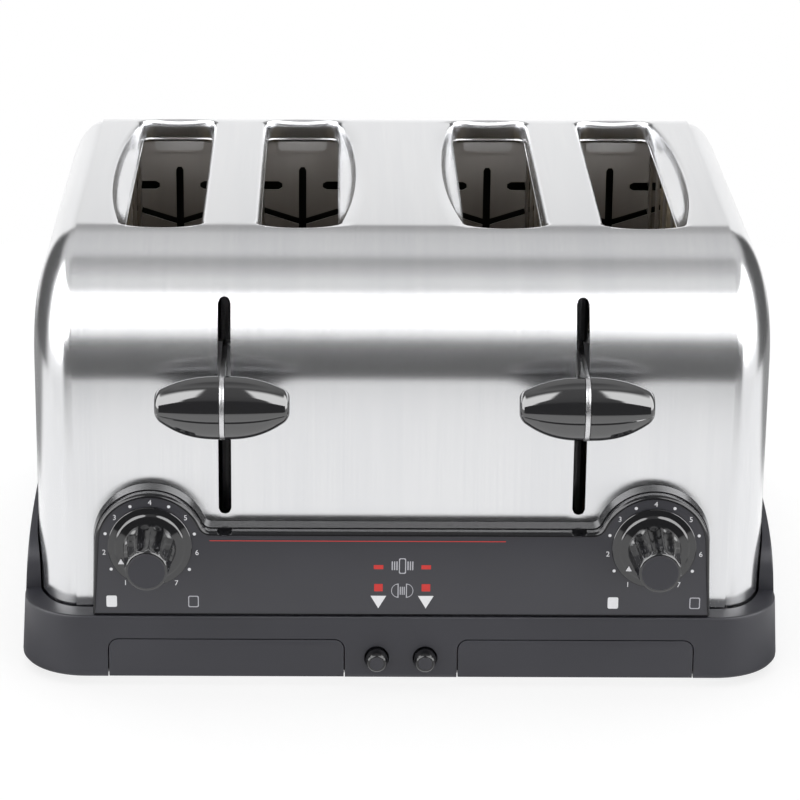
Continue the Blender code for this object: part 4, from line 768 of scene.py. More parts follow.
# The front wall's patches: their heights and point counts, then (side, column) of the mouths and the
# buttons, and the columns whose foot is solid
FRONT_ROWS = (0.0, BUTTON_Z - BUTTON_HOLE * ROOT, BUTTON_Z + BUTTON_HOLE * ROOT,
              MOUTH_TOP - MOUTH_CORNER * (1 - ROOT))
FRONT_TALL, FRONT_ACROSS = (6, 9, 8, 8), (7, 34, 8, 9, 8, 9, 8, 34, 7)
MOUTH_COLUMNS, BUTTON_COLUMNS = ((-1, 1), (1, 7)), ((-1, 3), (1, 5))
WALL_COLUMNS = (0, 2, 3, 4, 5, 6, 8)
CORNER_POINTS = 22


def base_round(z):
    """How far the foot of the base's wall draws in, as a quarter ellipse."""
    return 1.0 - np.sqrt(1.0 - np.clip((BASE_ROUND - z) / BASE_ROUND, 0.0, 1.0) ** 2)


def wall_y(z):
    """Depth of the front wall's outer face at a height: its draft and the round at its foot."""
    return -BASE_Y + BASE_DRAFT * z + base_round(z)


def recess_outline():
    """One corner of the recess that the wrap and caps stand in, from the side round to the front."""
    x, y = WRAP_HALF_X + CAP_BULGE + RECESS_GAP, WRAP_HALF_Y + RECESS_GAP
    corner = np.array((CAP_BULGE + RECESS_GAP, CAP_CORNER_Y + RECESS_GAP))
    return np.vstack([[(x, 0.0)], arc((x, y) - corner, corner, 0, 90, 60), [(0.0, y)]])


def base_corner():
    """Quarter of the base's plan from the middle of one side round to the front's straight part.

    Returns the outer points at the floor, outward directions, recess points and the rim's heights.
    The rim rises over the side as a superellipse of the depth's share of the arch's half width."""
    recess = recess_outline()
    centre = np.array((BASE_X - BASE_CORNER, BASE_Y - BASE_CORNER))
    side_y = ARCH_HALF * np.abs(np.cos(np.linspace(math.pi / 2, 0, 56))) ** (2 / ARCH_POWER)
    bend = arc(centre, BASE_CORNER, 0, 90, CORNER_POINTS)
    outer = np.vstack([stood(side_y[:, None], 0, BASE_X), bend])
    away = np.vstack([np.tile((1.0, 0.0), (len(side_y), 1)), (bend - centre) / BASE_CORNER])
    side_in = np.stack([np.interp(side_y, recess[:, 1], recess[:, 0]), side_y], -1)
    # Round the base's corner the recess is read by its direction from the corner's centre
    part = recess[(recess >= centre - (8.0, 12.0)).all(1)] - centre
    reach = np.interp(np.linspace(0, math.pi / 2, CORNER_POINTS), np.arctan2(part[:, 1], part[:, 0]),
                      np.linalg.norm(part, axis=1))
    bend_in = centre + away[len(side_y):] * reach[:, None]
    share = np.clip(outer[:, 1] / ARCH_HALF, 0, 1) ** ARCH_POWER
    rim = RIM_FRONT + (RIM_SIDE - RIM_FRONT) * (1 - share) ** (1 / ARCH_POWER)
    return outer, away, np.vstack([side_in, bend_in]), rim


def mouth_edges(side):
    """The left, right and top edges of a crumb tray's mouth in (x, z), its top corners round."""
    low, high = sorted((side * MOUTH_NEAR, side * MOUTH_FAR))
    r, z = MOUTH_CORNER, MOUTH_TOP - MOUTH_CORNER
    top = np.vstack([arc((low + r, z), r, 135, 90, 8), arc((high - r, z), r, 90, 45, 8)])
    return arc((low + r, z), r, 180, 135, 7), arc((high - r, z), r, 0, 45, 7), top


def front_columns():
    """The x places between which the front wall's patches lie."""
    near, far = MOUTH_NEAR + MOUTH_CORNER * (1 - ROOT), MOUTH_FAR - MOUTH_CORNER * (1 - ROOT)
    reach = BUTTON_HOLE * ROOT
    right = [BUTTON_X - reach, BUTTON_X + reach, near, far, BASE_X - BASE_CORNER]
    return [-x for x in right[::-1]] + right


def front_wall(form, top, shape, flip):
    """One face of the front wall with its tray mouths open below and its two button holes."""
    rows = (*FRONT_ROWS, top)
    corners = np.stack(np.meshgrid(front_columns(), rows), -1)
    for column, x in ((1, -MOUTH_FAR), (2, -MOUTH_NEAR), (7, MOUTH_NEAR), (8, MOUTH_FAR)):
        corners[:3, column, 0] = x
    holes = {}
    for side, column in MOUTH_COLUMNS:
        left, right, crown = mouth_edges(side)
        feet = {"left": left[0, 0], "right": right[0, 0]}
        holes[column, 2] = {key: along(np.vstack([[(feet[key], rows[2])], bend]), FRONT_TALL[2])
                            for key, bend in (("left", left), ("right", right))}
        level = straight(crown[7], crown[8], 20)[1:-1]
        holes[column, 2]["top"] = np.vstack([crown[:8], level, crown[8:]])
        for row in (0, 1):
            holes[column, row] = {key: straight((x, rows[row]), (x, rows[row + 1]), FRONT_TALL[row])
                                  for key, x in feet.items()}
    for side, column in BUTTON_COLUMNS:
        quarters = {"bottom": (225, 315), "top": (135, 45), "left": (225, 135), "right": (315, 405)}
        holes[column, 1] = {key: arc((side * BUTTON_X, BUTTON_Z), BUTTON_HOLE, *turns, 9)
                            for key, turns in quarters.items()}
    holed_sheet(form, corners, FRONT_ACROSS, FRONT_TALL, holes, shape, flip)
    return corners, holes


def make_base():
    """The moulding: its section swept round the plan, and a front wall with mouths and holes. The
    section goes up the drafted wall, over the rim's quarter circle, into the recess, round its ledge
    and down the inner wall."""
    outer, away, recess, rim = base_corner()
    heights = divided((*FRONT_ROWS, RIM_FRONT - RIM_EDGE), FRONT_TALL)
    z = (heights / heights[-1])[:, None] * (rim - RIM_EDGE)
    wall = outer - away * (BASE_DRAFT * z + base_round(z))[..., None]
    edge = np.radians(np.linspace(90, 0, 6))[1:, None]
    edge_z = rim - RIM_EDGE + RIM_EDGE * np.cos(edge)
    lip = outer - away * (BASE_DRAFT * edge_z + RIM_EDGE * (1 - np.sin(edge)))[..., None]
    inner_z = divided((*FRONT_ROWS, LEDGE_FOOT), FRONT_TALL)[::-1, None] + 0 * rim
    inner = outer - away * (BASE_DRAFT * inner_z + BASE_WALL)[..., None]
    ledge = recess - away * LEDGE_REACH
    plan = np.concatenate([wall, lip, np.stack([recess, recess, ledge, ledge]), inner])
    flat_z = np.stack([rim, LEDGE_TOP + 0 * rim, LEDGE_TOP + 0 * rim, LEDGE_FOOT + 0 * rim])
    quarter = np.concatenate([plan, np.concatenate([z, edge_z, flat_z, inner_z])[..., None]], -1)
    form = Form()
    for x in (-1, 1):
        for y in (-1, 1):
            form.grid(quarter * (x, y, 1), round_rows=True, flip=x * y > 0)
    # The straight parts between the quarters: the whole section behind, only rim and ledge in front
    line = divided(front_columns(), FRONT_ACROSS)
    for y in (-1, 1):
        rows = np.repeat(quarter[:, -1:], len(line), axis=1) * (1, y, 1)
        rows[..., 0] = line
        if y > 0:
            form.grid(rows, round_rows=True, flip=True)
        else:
            form.grid(rows[len(wall) - 1:-len(inner) + 1])

    def outside(points):
        """(x, z) to the front wall's outer face."""
        x, z = points[..., 0], points[..., 1]
        return np.stack([x, wall_y(z), z], -1)

    def inside(points):
        """(x, z) to its inner face."""
        x, z = points[..., 0], points[..., 1]
        return np.stack([x, BASE_WALL - BASE_Y + BASE_DRAFT * z, z], -1)

    def through(edge, **turns):
        """The wall's thickness along an edge."""
        form.grid(np.stack([outside(edge), inside(edge)]), **turns)

    front_wall(form, LEDGE_FOOT, inside, True)
    corners, holes = front_wall(form, RIM_FRONT - RIM_EDGE, outside, False)
    for _, column in MOUTH_COLUMNS:
        climb = [holes[column, row]["left"] for row in (0, 1, 2)]
        fall = [holes[column, row]["right"][::-1] for row in (2, 1, 0)]
        through(np.vstack([*climb, holes[column, 2]["top"], *fall]))
    for _, column in BUTTON_COLUMNS:
        through(ring_of(holes[column, 1]), round_columns=True)
    for column in WALL_COLUMNS:
        through(straight(corners[0, column], corners[0, column + 1], FRONT_ACROSS[column]), flip=True)
    form.piece("base_moulding", MOULDED, slot="satin_black_plastic", replaces=("base",), sharp=35)


# Control panel

def panel_outline(inset, notched=False):
    """The panel seen from the front: a band with an arch round each dial, drawn in by an inset.

    Its sides draw in by half the inset and its bottom by a quarter. A notch under each lever slot
    is half an ellipse taken out of the band's top edge."""
    radius, half, top = ARCH_RADIUS - inset, PANEL_HALF_X - 0.5 * inset, PANEL_TOP - inset
    bottom, blend = PANEL_BOTTOM + 0.25 * max(inset, 0.0), PANEL_BLEND + inset
    meet = math.degrees(math.asin((top + blend - DIAL_Z) / (radius + blend)))
    outer = math.degrees(math.acos(min(1.0, (half - DIAL_X) / radius)))
    foot = DIAL_X - (radius + blend) * math.cos(math.radians(meet))
    arch = arc((DIAL_X, DIAL_Z), radius, outer, 180 - meet, 90)
    ease = arc((foot, top + blend), blend, -meet, -90, 16)[1:]
    notch = LEVER_X + NOTCH_HALF * np.cos(np.radians(np.linspace(0, 180, 17)))
    x = np.concatenate([notch, np.linspace(LEVER_X - NOTCH_HALF, 0, 12)[1:]])
    drop = NOTCH_DEPTH * np.sqrt(np.maximum(0.0, 1 - ((x - LEVER_X) / NOTCH_HALF) ** 2))
    level = np.minimum(top, PANEL_TOP - drop) if notched else top + 0 * x
    band = np.stack([np.minimum(x, foot), level], -1)
    side = straight((half, bottom), arch[0], 12)[:-1]
    right = np.vstack([straight((0, bottom), (half, bottom), 30)[:-1], side, arch, ease, band])
    return np.vstack([right, right[::-1][1:-1] * (-1, 1)])


def make_panel():
    """The moulding: its outline carried through (depth, inset, notched) steps. The flange spreads
    towards the back, the front edge is a quarter circle, and the film's recess is sunk in the face."""
    knee, floor = PANEL_FRONT + PANEL_DRAFT, PANEL_FRONT + PANEL_FLANGE
    steps = [(PANEL_BACK, -PANEL_SPREAD, False),
             (floor, -PANEL_SPREAD * (floor - knee) / (PANEL_BACK - knee), False),
             (floor, 0.0, True), (knee + 0.4, 0.0, True)]
    steps += [(knee - PANEL_DRAFT * math.sin(a), PANEL_DRAFT * (1 - math.cos(a)), True)
              for a in np.radians(np.linspace(0, 90, 12))]
    steps += [(PANEL_FRONT + 0.10, FILM_INSET - 0.58, True),
              (PANEL_FRONT + 0.9, FILM_INSET - 0.55, True)]
    form = Form().block([stood(panel_outline(inset, notched), 1, y) for y, inset, notched in steps])
    form.piece("panel_moulding", PANEL_GLOSS, slot="gloss_black_plastic", replaces=("control_panel",),
               sharp=40)


def make_film():
    """The printed film: a thin plate in the panel's recess with a softly rounded edge."""
    steps = ((0.4, 0.0), (0.05, 0.0), (0.01, 0.02), (0.0, 0.06))
    form = Form().block([stood(panel_outline(FILM_INSET + inset), 1, OVERLAY_FACE + depth)
                         for depth, inset in steps])
    form.piece("overlay_film", FILM, slot="printed_overlay", replaces=("panel_overlay",), sharp=25)


# Knobs and buttons

def make_cap_face(name, body, centre, radius):
    """The textured disc moulded on the end of a knob or a button."""
    profile = np.array([(radius - 0.1, 0.05), (radius, -0.01), (radius - 0.06, -0.05),
                        (radius - 0.2, -0.06)])
    form = Form().block(turned(profile, 64) + centre)
    form.piece(name, MOULDED, body=body, slot="satin_black_plastic", sharp=40)


def make_knob(word, side):
    """Skirt and a tapered grip whose scallops meet in fine ridges and run out at its face.

    The skirt is a cone with a smooth step in it. A scallop lowers the radius by its depth times the
    absolute sine of half the flutes times the angle, softened at the ridges by a small square."""
    origin = np.array((side * DIAL_X, OVERLAY_FACE + 0.1, DIAL_Z))
    reach = np.linspace(SKIRT_RADIUS, KNOB_FOOT + 0.1, 50)
    rise = np.clip((STEP_RADIUS - reach) / STEP_RUN, 0, 1)
    cone = -SKIRT_THICK - SKIRT_SLOPE * (SKIRT_RADIUS - reach) - STEP_RISE * rise ** 2 * (3 - 2 * rise)
    rim = SKIRT_RADIUS + 0.2
    share = np.linspace(0, 1, 60)[1:]
    body = np.stack([KNOB_FOOT - (KNOB_FOOT - KNOB_TIP) * share, -KNOB_START - KNOB_RUN * share], -1)
    crown = arc((KNOB_TIP - KNOB_ROUND, -KNOB_START - KNOB_RUN), KNOB_ROUND, 0, -90, 11)[1:]
    profile = np.vstack([[(SHAFT_RADIUS, -0.2), (SKIRT_RADIUS, -0.2), (rim, -0.4), (rim, -1.0)],
                         np.stack([reach, cone], -1), body, crown])
    # The flutes are cut quickly at the grip's foot and run out towards its face and over its crown
    level = (-profile[:, 1:] - KNOB_START) / KNOB_RUN
    fade = np.sqrt(np.clip((1.045 - level) / 0.22, 0, 1)) * np.clip(level * 16, 0, 1)
    fade = fade * np.clip((profile[:, :1] - KNOB_TIP + KNOB_ROUND) / 1.2, 0, 1) ** 0.7
    turn = np.linspace(0, 2 * math.pi, 360, endpoint=False) - math.radians(RIDGE_TURN[word])
    wave = np.sqrt(np.sin(FLUTES / 2 * turn) ** 2 + RIDGE_ROUND) - math.sqrt(RIDGE_ROUND)
    form = Form().block(turned(profile, 360, -FLUTE_DEPTH * wave * fade) + origin)
    shaft = np.array([(SHAFT_RADIUS, -0.3), (SHAFT_RADIUS, 8.5), (SHAFT_RADIUS - 0.4, 8.9)])
    form.block(turned(shaft, 32) + origin)
    node = f"color_knob_{word}"
    make_cap_face(f"knob_face_{word}", node, origin - (0, KNOB_START + KNOB_RUN + KNOB_ROUND, 0), 7.35)
    form.piece(f"knob_{word}", KNOB_GLOSS, body=node, slot="gloss_black_plastic", replaces=(node,),
               sharp=30)


def make_pointer(word, side):
    """The small white triangle printed on a knob's skirt."""
    turn = math.radians(POINTER_TURN[word])
    x, z = side * DIAL_X + POINTER_RING * math.sin(turn), DIAL_Z + POINTER_RING * math.cos(turn)
    triangle = [(x - 1.25, z - 1.0), (x + 1.25, z - 1.0), (x, z + 1.3)]
    flat_print(f"pointer_{word}", [triangle], WHITE_INK, body=f"color_knob_{word}",
               y=OVERLAY_FACE - POINTER_LIFT)


def make_button(word, side):
    """A dome with a flat face, turned about y: a collar, then a quarter of a flattened ellipse."""
    origin, collar = np.array((side * BUTTON_X, BUTTON_Y, BUTTON_Z)), -2.4
    dome = arc((2.7, collar), (BUTTON_RADIUS - 2.7, BUTTON_DOME), 0, -90, 14)[1:]
    profile = np.vstack([[(1.75, 7.0), (BUTTON_RADIUS, 3.0), (BUTTON_RADIUS, collar)], dome])
    node = f"bagel_button_{word}"
    make_cap_face(f"button_face_{word}", node, origin + (0, collar - BUTTON_DOME, 0), 2.75)
    form = Form().block(turned(profile, 64) + origin)
    form.piece(f"button_{word}", PANEL_GLOSS, body=node, slot="gloss_black_plastic", replaces=(node,),
               sharp=40)


# Levers

def make_grip(word, side, half_word, outward):
    """Half a boat-shaped grip. Its section is four quarter ellipses about one middle, whose heights and
    depths fall with powers of the way out; its tip is rounded by a quarter circle. A fine parting line
    below the nose is a narrow bell curve of the angle's sine."""
    share = np.linspace(0, 1, 44) ** 0.9
    tip = np.radians(np.linspace(0, 90, 9))[1:]
    out = np.concatenate([GRIP_START + (GRIP_REACH - GRIP_TIP - GRIP_START) * share,
                          GRIP_REACH - GRIP_TIP * (1 - np.sin(tip))])[:, None]
    drawn = np.concatenate([0 * share, GRIP_TIP * (1 - np.cos(tip))])[:, None]
    way = np.clip(out / GRIP_REACH, 0, 1)
    top, bottom, front, back = [size - fall * way ** power for size, fall, power in GRIP_SIZES]
    turn = np.linspace(0, 2 * math.pi, 144, endpoint=False)[None]
    depth = np.where(np.cos(turn) < 0, front, back) - drawn
    height = np.where(np.sin(turn) > 0, top, bottom) - drawn
    parting = np.exp(-((np.sin(turn) - PARTING_AT) / PARTING_WIDTH) ** 2)
    parting = parting * (np.cos(turn) < 0) * (drawn < 0.6)
    y = GRIP_Y + (depth - PARTING_DEPTH * parting) * np.cos(turn)
    z = GRIP_Z + height * np.sin(turn)
    form = Form().block(np.stack([side * LEVER_X + outward * out + 0 * y, y, z], -1))
    form.piece(f"grip_{word}_{half_word}", GLOSS, body=f"lever_{word}", slot="gloss_black_plastic",
               replaces=(f"lever_grip_{word}_{half_word}",), sharp=40)


def make_blade(word, side):
    """The rounded stainless edge between a lever's two grips: ellipses through (x, inset) steps."""
    steps = ((-0.92, 0.25), (-0.85, 0.07), (-0.6, 0.0), (0.6, 0.0), (0.85, 0.07), (0.92, 0.25))
    form = Form().block([
        stood(arc((GRIP_Y, GRIP_Z), (BLADE_DEPTH - inset, BLADE_TALL - inset), 0, 360, 97)[:-1],
              0, side * LEVER_X + x) for x, inset in steps])
    form.piece(f"blade_nose_{word}", BLADE, body=f"lever_{word}", slot="polished_stainless", sharp=50)


def make_lever_arm(word):
    """A lever's welded arm, its neck drawn down towards the grips where it leaves the wrap."""
    arm = copied(f"lever_arm_{word}", f"arm_{word}", BLADE, f"lever_{word}").data
    points = read(arm.vertices, "co", 3)
    y, z = points[:, 1] / MM - MIDDLE_Y, points[:, 2] / MM - FOOT_HEIGHT
    out = np.clip((NECK_START - y) / NECK_RUN, 0, 1) * (y > NECK_END) * (z > NECK_LOW)
    points[:, 2] -= (NECK_DROP * out * MM).astype(np.float32)
    arm.vertices.foreach_set("co", points.reshape(-1))
    arm.update()


# Printing

def flat_print(name, outlines, finish, body="housing", y=OVERLAY_FACE - 0.02):
    """Printed shapes as thin plates just proud of what carries them."""
    form = Form()
    for outline in outlines:
        form.block([stood(outline, 1, y), stood(outline, 1, y - INK)])
    form.piece(name, finish, body=body, sharp=20)


def numeral(form, character, x, z, height):
    """Lays a plain numeral on the overlay: text made a mesh, whose outline keeps a little thickness."""
    curve = bpy.data.curves.new(f"numeral_{character}", "FONT")
    curve.body = character
    curve.size = height / 0.72
    curve.align_x, curve.align_y = "CENTER", "CENTER"
    curve.extrude = 0.03
    holder = bpy.data.objects.new(f"numeral_{character}", curve)
    mesh = bpy.data.meshes.new_from_object(holder)
    points = read(mesh.vertices, "co", 3)
    form.add(np.stack([points[:, 0] + x, OVERLAY_FACE - 0.04 - points[:, 2], points[:, 1] + z], -1),
             [[corner + form.count for corner in polygon.vertices] for polygon in mesh.polygons])
    bpy.data.objects.remove(holder)
    bpy.data.meshes.remove(mesh)


def frame_of(outline, width):
    """A thin band just inside an outline, as four-sided pieces."""
    away = outline - outline.mean(0)
    inner = outline.mean(0) + away * (1 - width / np.abs(away).max(0))
    follow, follow_inner = np.roll(outline, -1, 0), np.roll(inner, -1, 0)
    return [np.array(quad) for quad in zip(outline, follow, follow_inner, inner)]


def bars(low_x, high_x, low_z, high_z):
    """Three upright bars as wide as their gaps, which stand for heat."""
    step = (high_x - low_x) / 5
    return [[(x, low_z), (x + step, low_z), (x + step, high_z), (x, high_z)]
            for x in low_x + 2 * step * np.arange(3)]


def half_round(x, z, half_x, half_z, facing):
    """A bagel half seen from its edge: flat on one side and half an ellipse on the other."""
    bend = arc((0.0, z), (2 * half_x, half_z), -90, 90, 17)
    return bend * (facing, 1) + (x - facing * half_x, 0)


def make_print():
    """Dial numbers 1 to 7, dots, shade squares, arrows, plain pictograms and a rule."""
    numbers, white, grey, red = Form(), [], [], []
    shade_z, shade = 32.8, (2.15, 2.5, 0.7)
    for _, side in SIDES:
        centre = side * DIAL_X
        for k in range(7):
            turn = math.radians(DIAL_START + DIAL_STEP * k)
            x, z = centre + NUMBER_RING * math.sin(turn), DIAL_Z + NUMBER_RING * math.cos(turn)
            numeral(numbers, str(k + 1), x + 0.2, z - 0.2, NUMBER_TALL)
        for turn in np.radians(DIAL_START + DIAL_STEP * (np.arange(6) + 0.5)):
            spot = (centre + DOT_RING * math.sin(turn), DIAL_Z + DOT_RING * math.cos(turn))
            white.append(arc(spot, DOT_RADIUS, 0, 360, 25)[:-1])
        white.append(rounded(centre - 15.9, shade_z, *shade))
        grey += frame_of(rounded(centre + 17.4, shade_z, *shade), 0.38)
    # Between the dials, from the top: red dashes, heat signs, red squares and white triangles
    for x in (-9.4, 9.9):
        red += [rounded(x, 48.2, 1.95, 0.9, 0.2), rounded(x, 39.2, 1.75, 1.6, 0.2)]
        white.append([(x - 3.2, 35.6), (x, 30.1), (x + 3.2, 35.6)])
    grey += frame_of(rounded(0.3, 48.7, 1.45, 3.4, 0.7), 0.4)
    grey += bars(-4.1, -1.7, 46.9, 50.7) + bars(2.3, 4.7, 46.9, 50.7)
    for x, facing in ((-2.7, -1), (3.3, 1)):
        grey += frame_of(half_round(x, 37.9, 1.5, 3.1, facing), 0.4)
    grey += bars(-0.7, 1.3, 36.1, 39.6)
    red.append([(-77.8, 59.3), (42.0, 59.3), (42.0, 59.62), (-77.8, 59.62)])
    numbers.piece("dial_numbers", WHITE_INK, sharp=20)
    flat_print("white_marks", white, WHITE_INK)
    flat_print("light_marks", grey, GREY_INK)
    flat_print("red_marks", red, RED_INK)


# Trays

def tray_outline(side, inset):
    """A tray front in (x, z): round top corners, square at the bottom."""
    low, high = sorted((side * MOUTH_NEAR, side * MOUTH_FAR))
    low, high, r, z = low + inset, high - inset, MOUTH_CORNER - inset, MOUTH_TOP - MOUTH_CORNER
    return np.vstack([straight((low, TRAY_FOOT), (high, TRAY_FOOT), 30),
                      straight((high, TRAY_FOOT), (high, z), 8)[1:],
                      arc((high - r, z), r, 0, 90, 10)[1:], arc((low + r, z), r, 90, 180, 10),
                      straight((low, z), (low, TRAY_FOOT), 8)[1:-1]])


def make_tray(word, side):
    """A crumb tray: its moulded front, flush with the base, and a sheet pan behind it."""
    node = f"crumb_tray_{word}"
    rings = []
    for depth, inset in ((2.4, 0.42), (0.30, 0.42), (0.08, 0.50), (0.0, 0.72)):
        line = tray_outline(side, inset)
        rings.append(stood(line, 1, wall_y(line[:, 1]) + depth))
    Form().block(rings).piece(f"tray_front_{word}", MOULDED, body=node, slot="satin_black_plastic",
                              replaces=(node,), sharp=30)
    middle = (side * (PAN_NEAR + PAN_FAR) / 2, (PAN_BACK + PAN_FRONT) / 2)
    half_x, half_y = (PAN_FAR - PAN_NEAR) / 2, (PAN_BACK - PAN_FRONT) / 2
    levels = ((13.3, 0.0), (12.9, 0.0), (3.4, 0.6), (2.6, 0.9), (2.3, 1.7))
    plans = [stood(rounded(*middle, half_x - inset, half_y - inset, PAN_CORNER - inset), 2, z)
             for z, inset in levels]
    pan = Form()
    pan.grid(np.stack(plans), round_columns=True)
    pan.face(plans[-1])
    thicken(pan.piece(f"tray_pan_{word}", PLATED, body=node, slot="plated_steel", sharp=30), PAN_SHEET)


# Toasting chamber

def wire(form, x, line, closed=False):
    """Round wire along a path of (y, z) points at one x: circles square to the path."""
    step = np.roll(line, -1, 0) - np.roll(line, 1, 0) if closed else np.gradient(line, axis=0)
    step /= np.linalg.norm(step, axis=1)[:, None]
    turn = np.linspace(0, 2 * math.pi, 10, endpoint=False)[None, :, None]
    across = line[:, None] + WIRE * np.cos(turn) * np.stack([-step[:, 1], step[:, 0]], -1)[:, None]
    rings = np.concatenate([x + WIRE * np.sin(turn) + 0 * across[..., :1], across], -1)
    if closed:
        form.grid(rings, round_columns=True, round_rows=True)
    else:
        form.block(rings)


def make_guard(number, centre, word, side):
    """A bread guard: a bent wire frame with four uprights and four pins that ride in the end plates."""
    x, form = centre + side * GUARD_X, Form()
    wire(form, x, rounded(0.0, (GUARD_LOW + GUARD_HIGH) / 2, GUARD_HALF_Y - WIRE,
                          (GUARD_HIGH - GUARD_LOW) / 2 - WIRE, GUARD_CORNER), closed=True)
    for y in UPRIGHTS:
        wire(form, x, straight((y, GUARD_LOW + 0.2), (y, GUARD_HIGH - 0.2), 6))
    for z in PIN_HEIGHTS:
        for end in (-1, 1):
            wire(form, x, straight((end * PIN_START, z), (end * PIN_END, z), 3))
    node = f"bread_guard_{number}_{word}"
    form.piece(f"guard_wires_{number}_{word}", PLATED, body=node, slot="plated_steel", replaces=(node,),
               sharp=40)


def make_end_plate(end):
    """A slotted end plate whose sheared edges, the faces that don't look along y, are brighter."""
    plate = copied(f"chamber_{end}", f"end_plate_{end}", CHAMBER, "housing").data
    plate.materials.append(SHEARED)
    edge = np.abs(read(plate.polygons, "normal", 3)[:, 1]) < 0.5
    plate.polygons.foreach_set("material_index", edge.astype(np.int32))
    plate.update()


def make_tab(number, centre):
    """The folded tab that hangs from the back of a slot over its end plate, its lower corners round."""
    r, low, reach = TAB_CORNER, TAB_LOW + TAB_CORNER, TAB_HALF - TAB_CORNER
    line = np.vstack([arc((centre - reach, low), r, 180, 270, 8),
                      arc((centre + reach, low), r, 270, 360, 8),
                      [(centre + TAB_HALF, TAB_HIGH), (centre - TAB_HALF, TAB_HIGH)]])
    form = Form().block([stood(line, 1, TAB_BACK), stood(line, 1, TAB_FRONT)])
    form.piece(f"slot_tab_{number}", TAB_STEEL, slot="chamber_steel", sharp=30)


# Camera, light and floor

def make_camera():
    """The photograph's viewpoint: its axes from yaw, pitch and roll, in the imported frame."""
    yaw, pitch, roll = CAMERA_YAW, CAMERA_PITCH, CAMERA_ROLL
    level = math.cos(pitch)
    forward = Vector((math.sin(yaw) * level, math.cos(yaw) * level, -math.sin(pitch)))
    across = Vector((math.cos(yaw), -math.sin(yaw), 0.0))
    up = across.cross(forward)
    right = across * math.cos(roll) + up * math.sin(roll)
    top = up * math.cos(roll) - across * math.sin(roll)
    data = bpy.data.cameras.new("camera")
    data.lens, data.sensor_width, data.shift_x = CAMERA_LENS, 36.0, CAMERA_SHIFT
    data.clip_start, data.clip_end = 0.05, 50.0
    camera = bpy.data.objects.new("camera", data)
    turn = Matrix((right, top, -forward)).transposed().to_4x4()
    camera.matrix_world = Matrix.Translation(CAMERA_PLACE) @ turn
    bpy.context.scene.collection.objects.link(camera)
    bpy.context.scene.camera = camera


def make_floor():
    """A pale round table top that glows a little, so that it stays white and keeps a soft shadow.
    In reflections its glow is painted by place: brighter behind and darker far in front, with painted
    shade past the toaster's back corners, standing for the studio's flags, and a painted shadow close
    beside and behind the base."""
    radius = np.array([0.0, 150.0, 300.0, 430.0, 545.0])[:, None]
    turn = np.linspace(0, 2 * math.pi, 96, endpoint=False)[None]
    form = Form()
    x, y = radius * np.cos(turn), radius * np.sin(turn)
    form.grid(np.stack([x, y, 0 * x], -1), round_columns=True)
    f = Finish("table top", specular_ior_level=0.0, roughness=0.9)
    f.set("base_color", f.mix(f.noise(3.0), 0.30, 0.32))
    x, y = f.part(f.place, 0), f.part(f.place, 1)
    around, away = f.compass(x, y), f.math("SQRT", x * x + y * y)
    # Painted shade in reflections past the back corners, standing for the studio's flags
    flag_shade = f.remap(around, 100, 116) * f.remap(around, 164, 148) * f.remap(away, 0.20, 0.31)
    # Adds a painted shadow close beside and behind the base
    painted_dark = flag_shade + f.remap(f.math("ABSOLUTE", x), 0.215, 0.185) * f.remap(around, 40, 60)
    # The reflected glow is painted brighter behind and darker far in front
    glossy = f.mix(f.remap(y, 0.05, 0.35), 1.0, 1.30)
    glossy = f.mix(f.remap(away, 0.45, 0.58) * f.remap(y, 0.0, -0.1), glossy, 0.5)
    glossy = f.mix(f.remap(painted_dark, 0, 1), glossy, 0.05)
    f.set("emission_color", f.mix(f.node("LightPath", output="Is Glossy Ray"), 0.76, glossy))
    f.set("emission_strength", 1.0)
    mesh = bpy.data.meshes.new("floor")
    mesh.from_pydata((np.vstack(form.points) * MM).tolist(), [], form.faces)
    mesh.materials.append(f.material)
    floor = bpy.data.objects.new("floor", mesh)
    bpy.context.scene.collection.objects.link(floor)


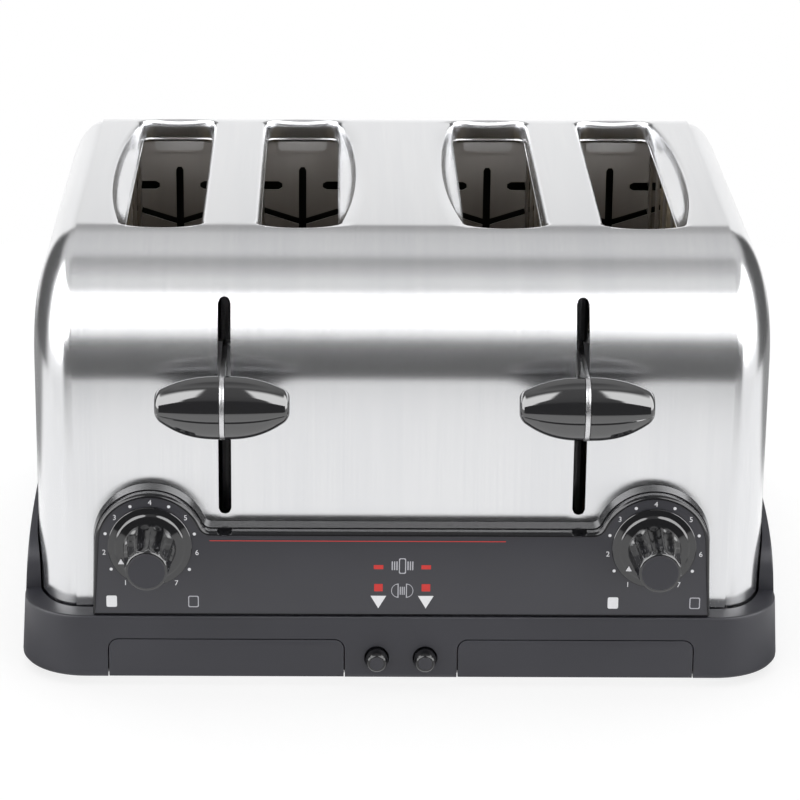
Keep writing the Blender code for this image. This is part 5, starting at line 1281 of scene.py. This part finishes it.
def make_world():
    """Studio light by direction: a tall soft box to either side of a dark gap where the camera stands,
    grey flags past the toaster's back corners, a bright wall low behind it and a quiet ceiling."""
    world = bpy.data.worlds.new("studio")
    bpy.context.scene.world = world
    world.use_nodes = True
    background = world.node_tree.nodes["Background"]
    g = Graph(world.node_tree)
    direction = g.node("TexCoord", output="Generated")
    x, y, z = [g.part(direction, axis) for axis in range(3)]
    around, above = g.compass(x, y), g.math("ARCSINE", z) * (180 / math.pi)

    def by_height(*rows):
        """A ramp of (degrees above the horizon, brightness)."""
        stops = [(0.5 + degrees / 180, tone / 2) for degrees, tone in rows]
        return g.ramp(above * (1 / 180) + 0.5, *stops)

    gap = by_height((-90, 0.2), (-8, 0.14), (11, 0.14), (15, 0.35), (28, 0.45), (54, 0.50), (62, 0.9),
                    (70, 0.7), (80, 0.48), (90, 0.5))
    behind = by_height((-90, 1.2), (17.0, 1.2), (19.3, 0.42), (28, 0.5), (38, 0.62), (46, 0.8),
                       (76, 0.9), (84, 0.8), (90, 0.5))
    # Masks: flags past the back corners, the dim sides below the table, and the soft boxes, whose inner
    # edges stand further apart low down
    flag_shade = g.remap(around, 104, 118) * g.remap(around, 162, 150) * g.remap(above, 40, 24)
    low = g.remap(around, 40, 50) * g.remap(around, 112, 100) * g.remap(above, 2, -4)
    edge = 13 + 6 * g.remap(above, 26, 18) + 28 * g.remap(above, 15, 8)
    box = (g.remap(around, edge - 2, edge + 2) * g.remap(around, 110, 92) * g.remap(above, -7, -1)
           * g.remap(above, 54, 42))
    tone = g.mix(g.remap(around, 85, 125), gap, behind)
    scattered, seen = [g.node("LightPath", output=f"Is {kind} Ray") for kind in ("Diffuse", "Camera")]
    for mask, level in ((flag_shade, 0.06), (low, 0.6), (box, 3.0), (scattered, 0.45), (seen, 0.5)):
        tone = g.mix(mask, tone, level)
    g.feed(background.inputs["Color"], tone)
    g.feed(background.inputs["Strength"], 2.0)
    world.cycles.sampling_method = "NONE"


def write_sizes():
    """Only defines a helper that gives a box's corners as plain lists; no box is computed and nothing is
    written.
    """
    def rows(box):
        """A box's corners as lists."""
        return [list(map(float, corner)) for corner in box]


make_camera()
make_floor()
make_world()
finish_the_frame()
make_wrap()
make_base()
make_panel()
make_film()
make_print()
for word, side in SIDES:
    make_end_cap(word, side)
    make_knob(word, side)
    make_pointer(word, side)
    make_button(word, side)
    make_grip(word, side, "outer", side)
    make_grip(word, side, "inner", -side)
    make_blade(word, side)
    make_lever_arm(word)
    make_tray(word, side)
for end in ("front", "back"):
    make_end_plate(end)
for number, centre, _ in SLOTS:
    make_tab(number, centre)
    for word, side in SIDES:
        make_guard(number, centre, word, side)
bpy.context.scene.view_settings.view_transform = "Standard"
write_sizes()
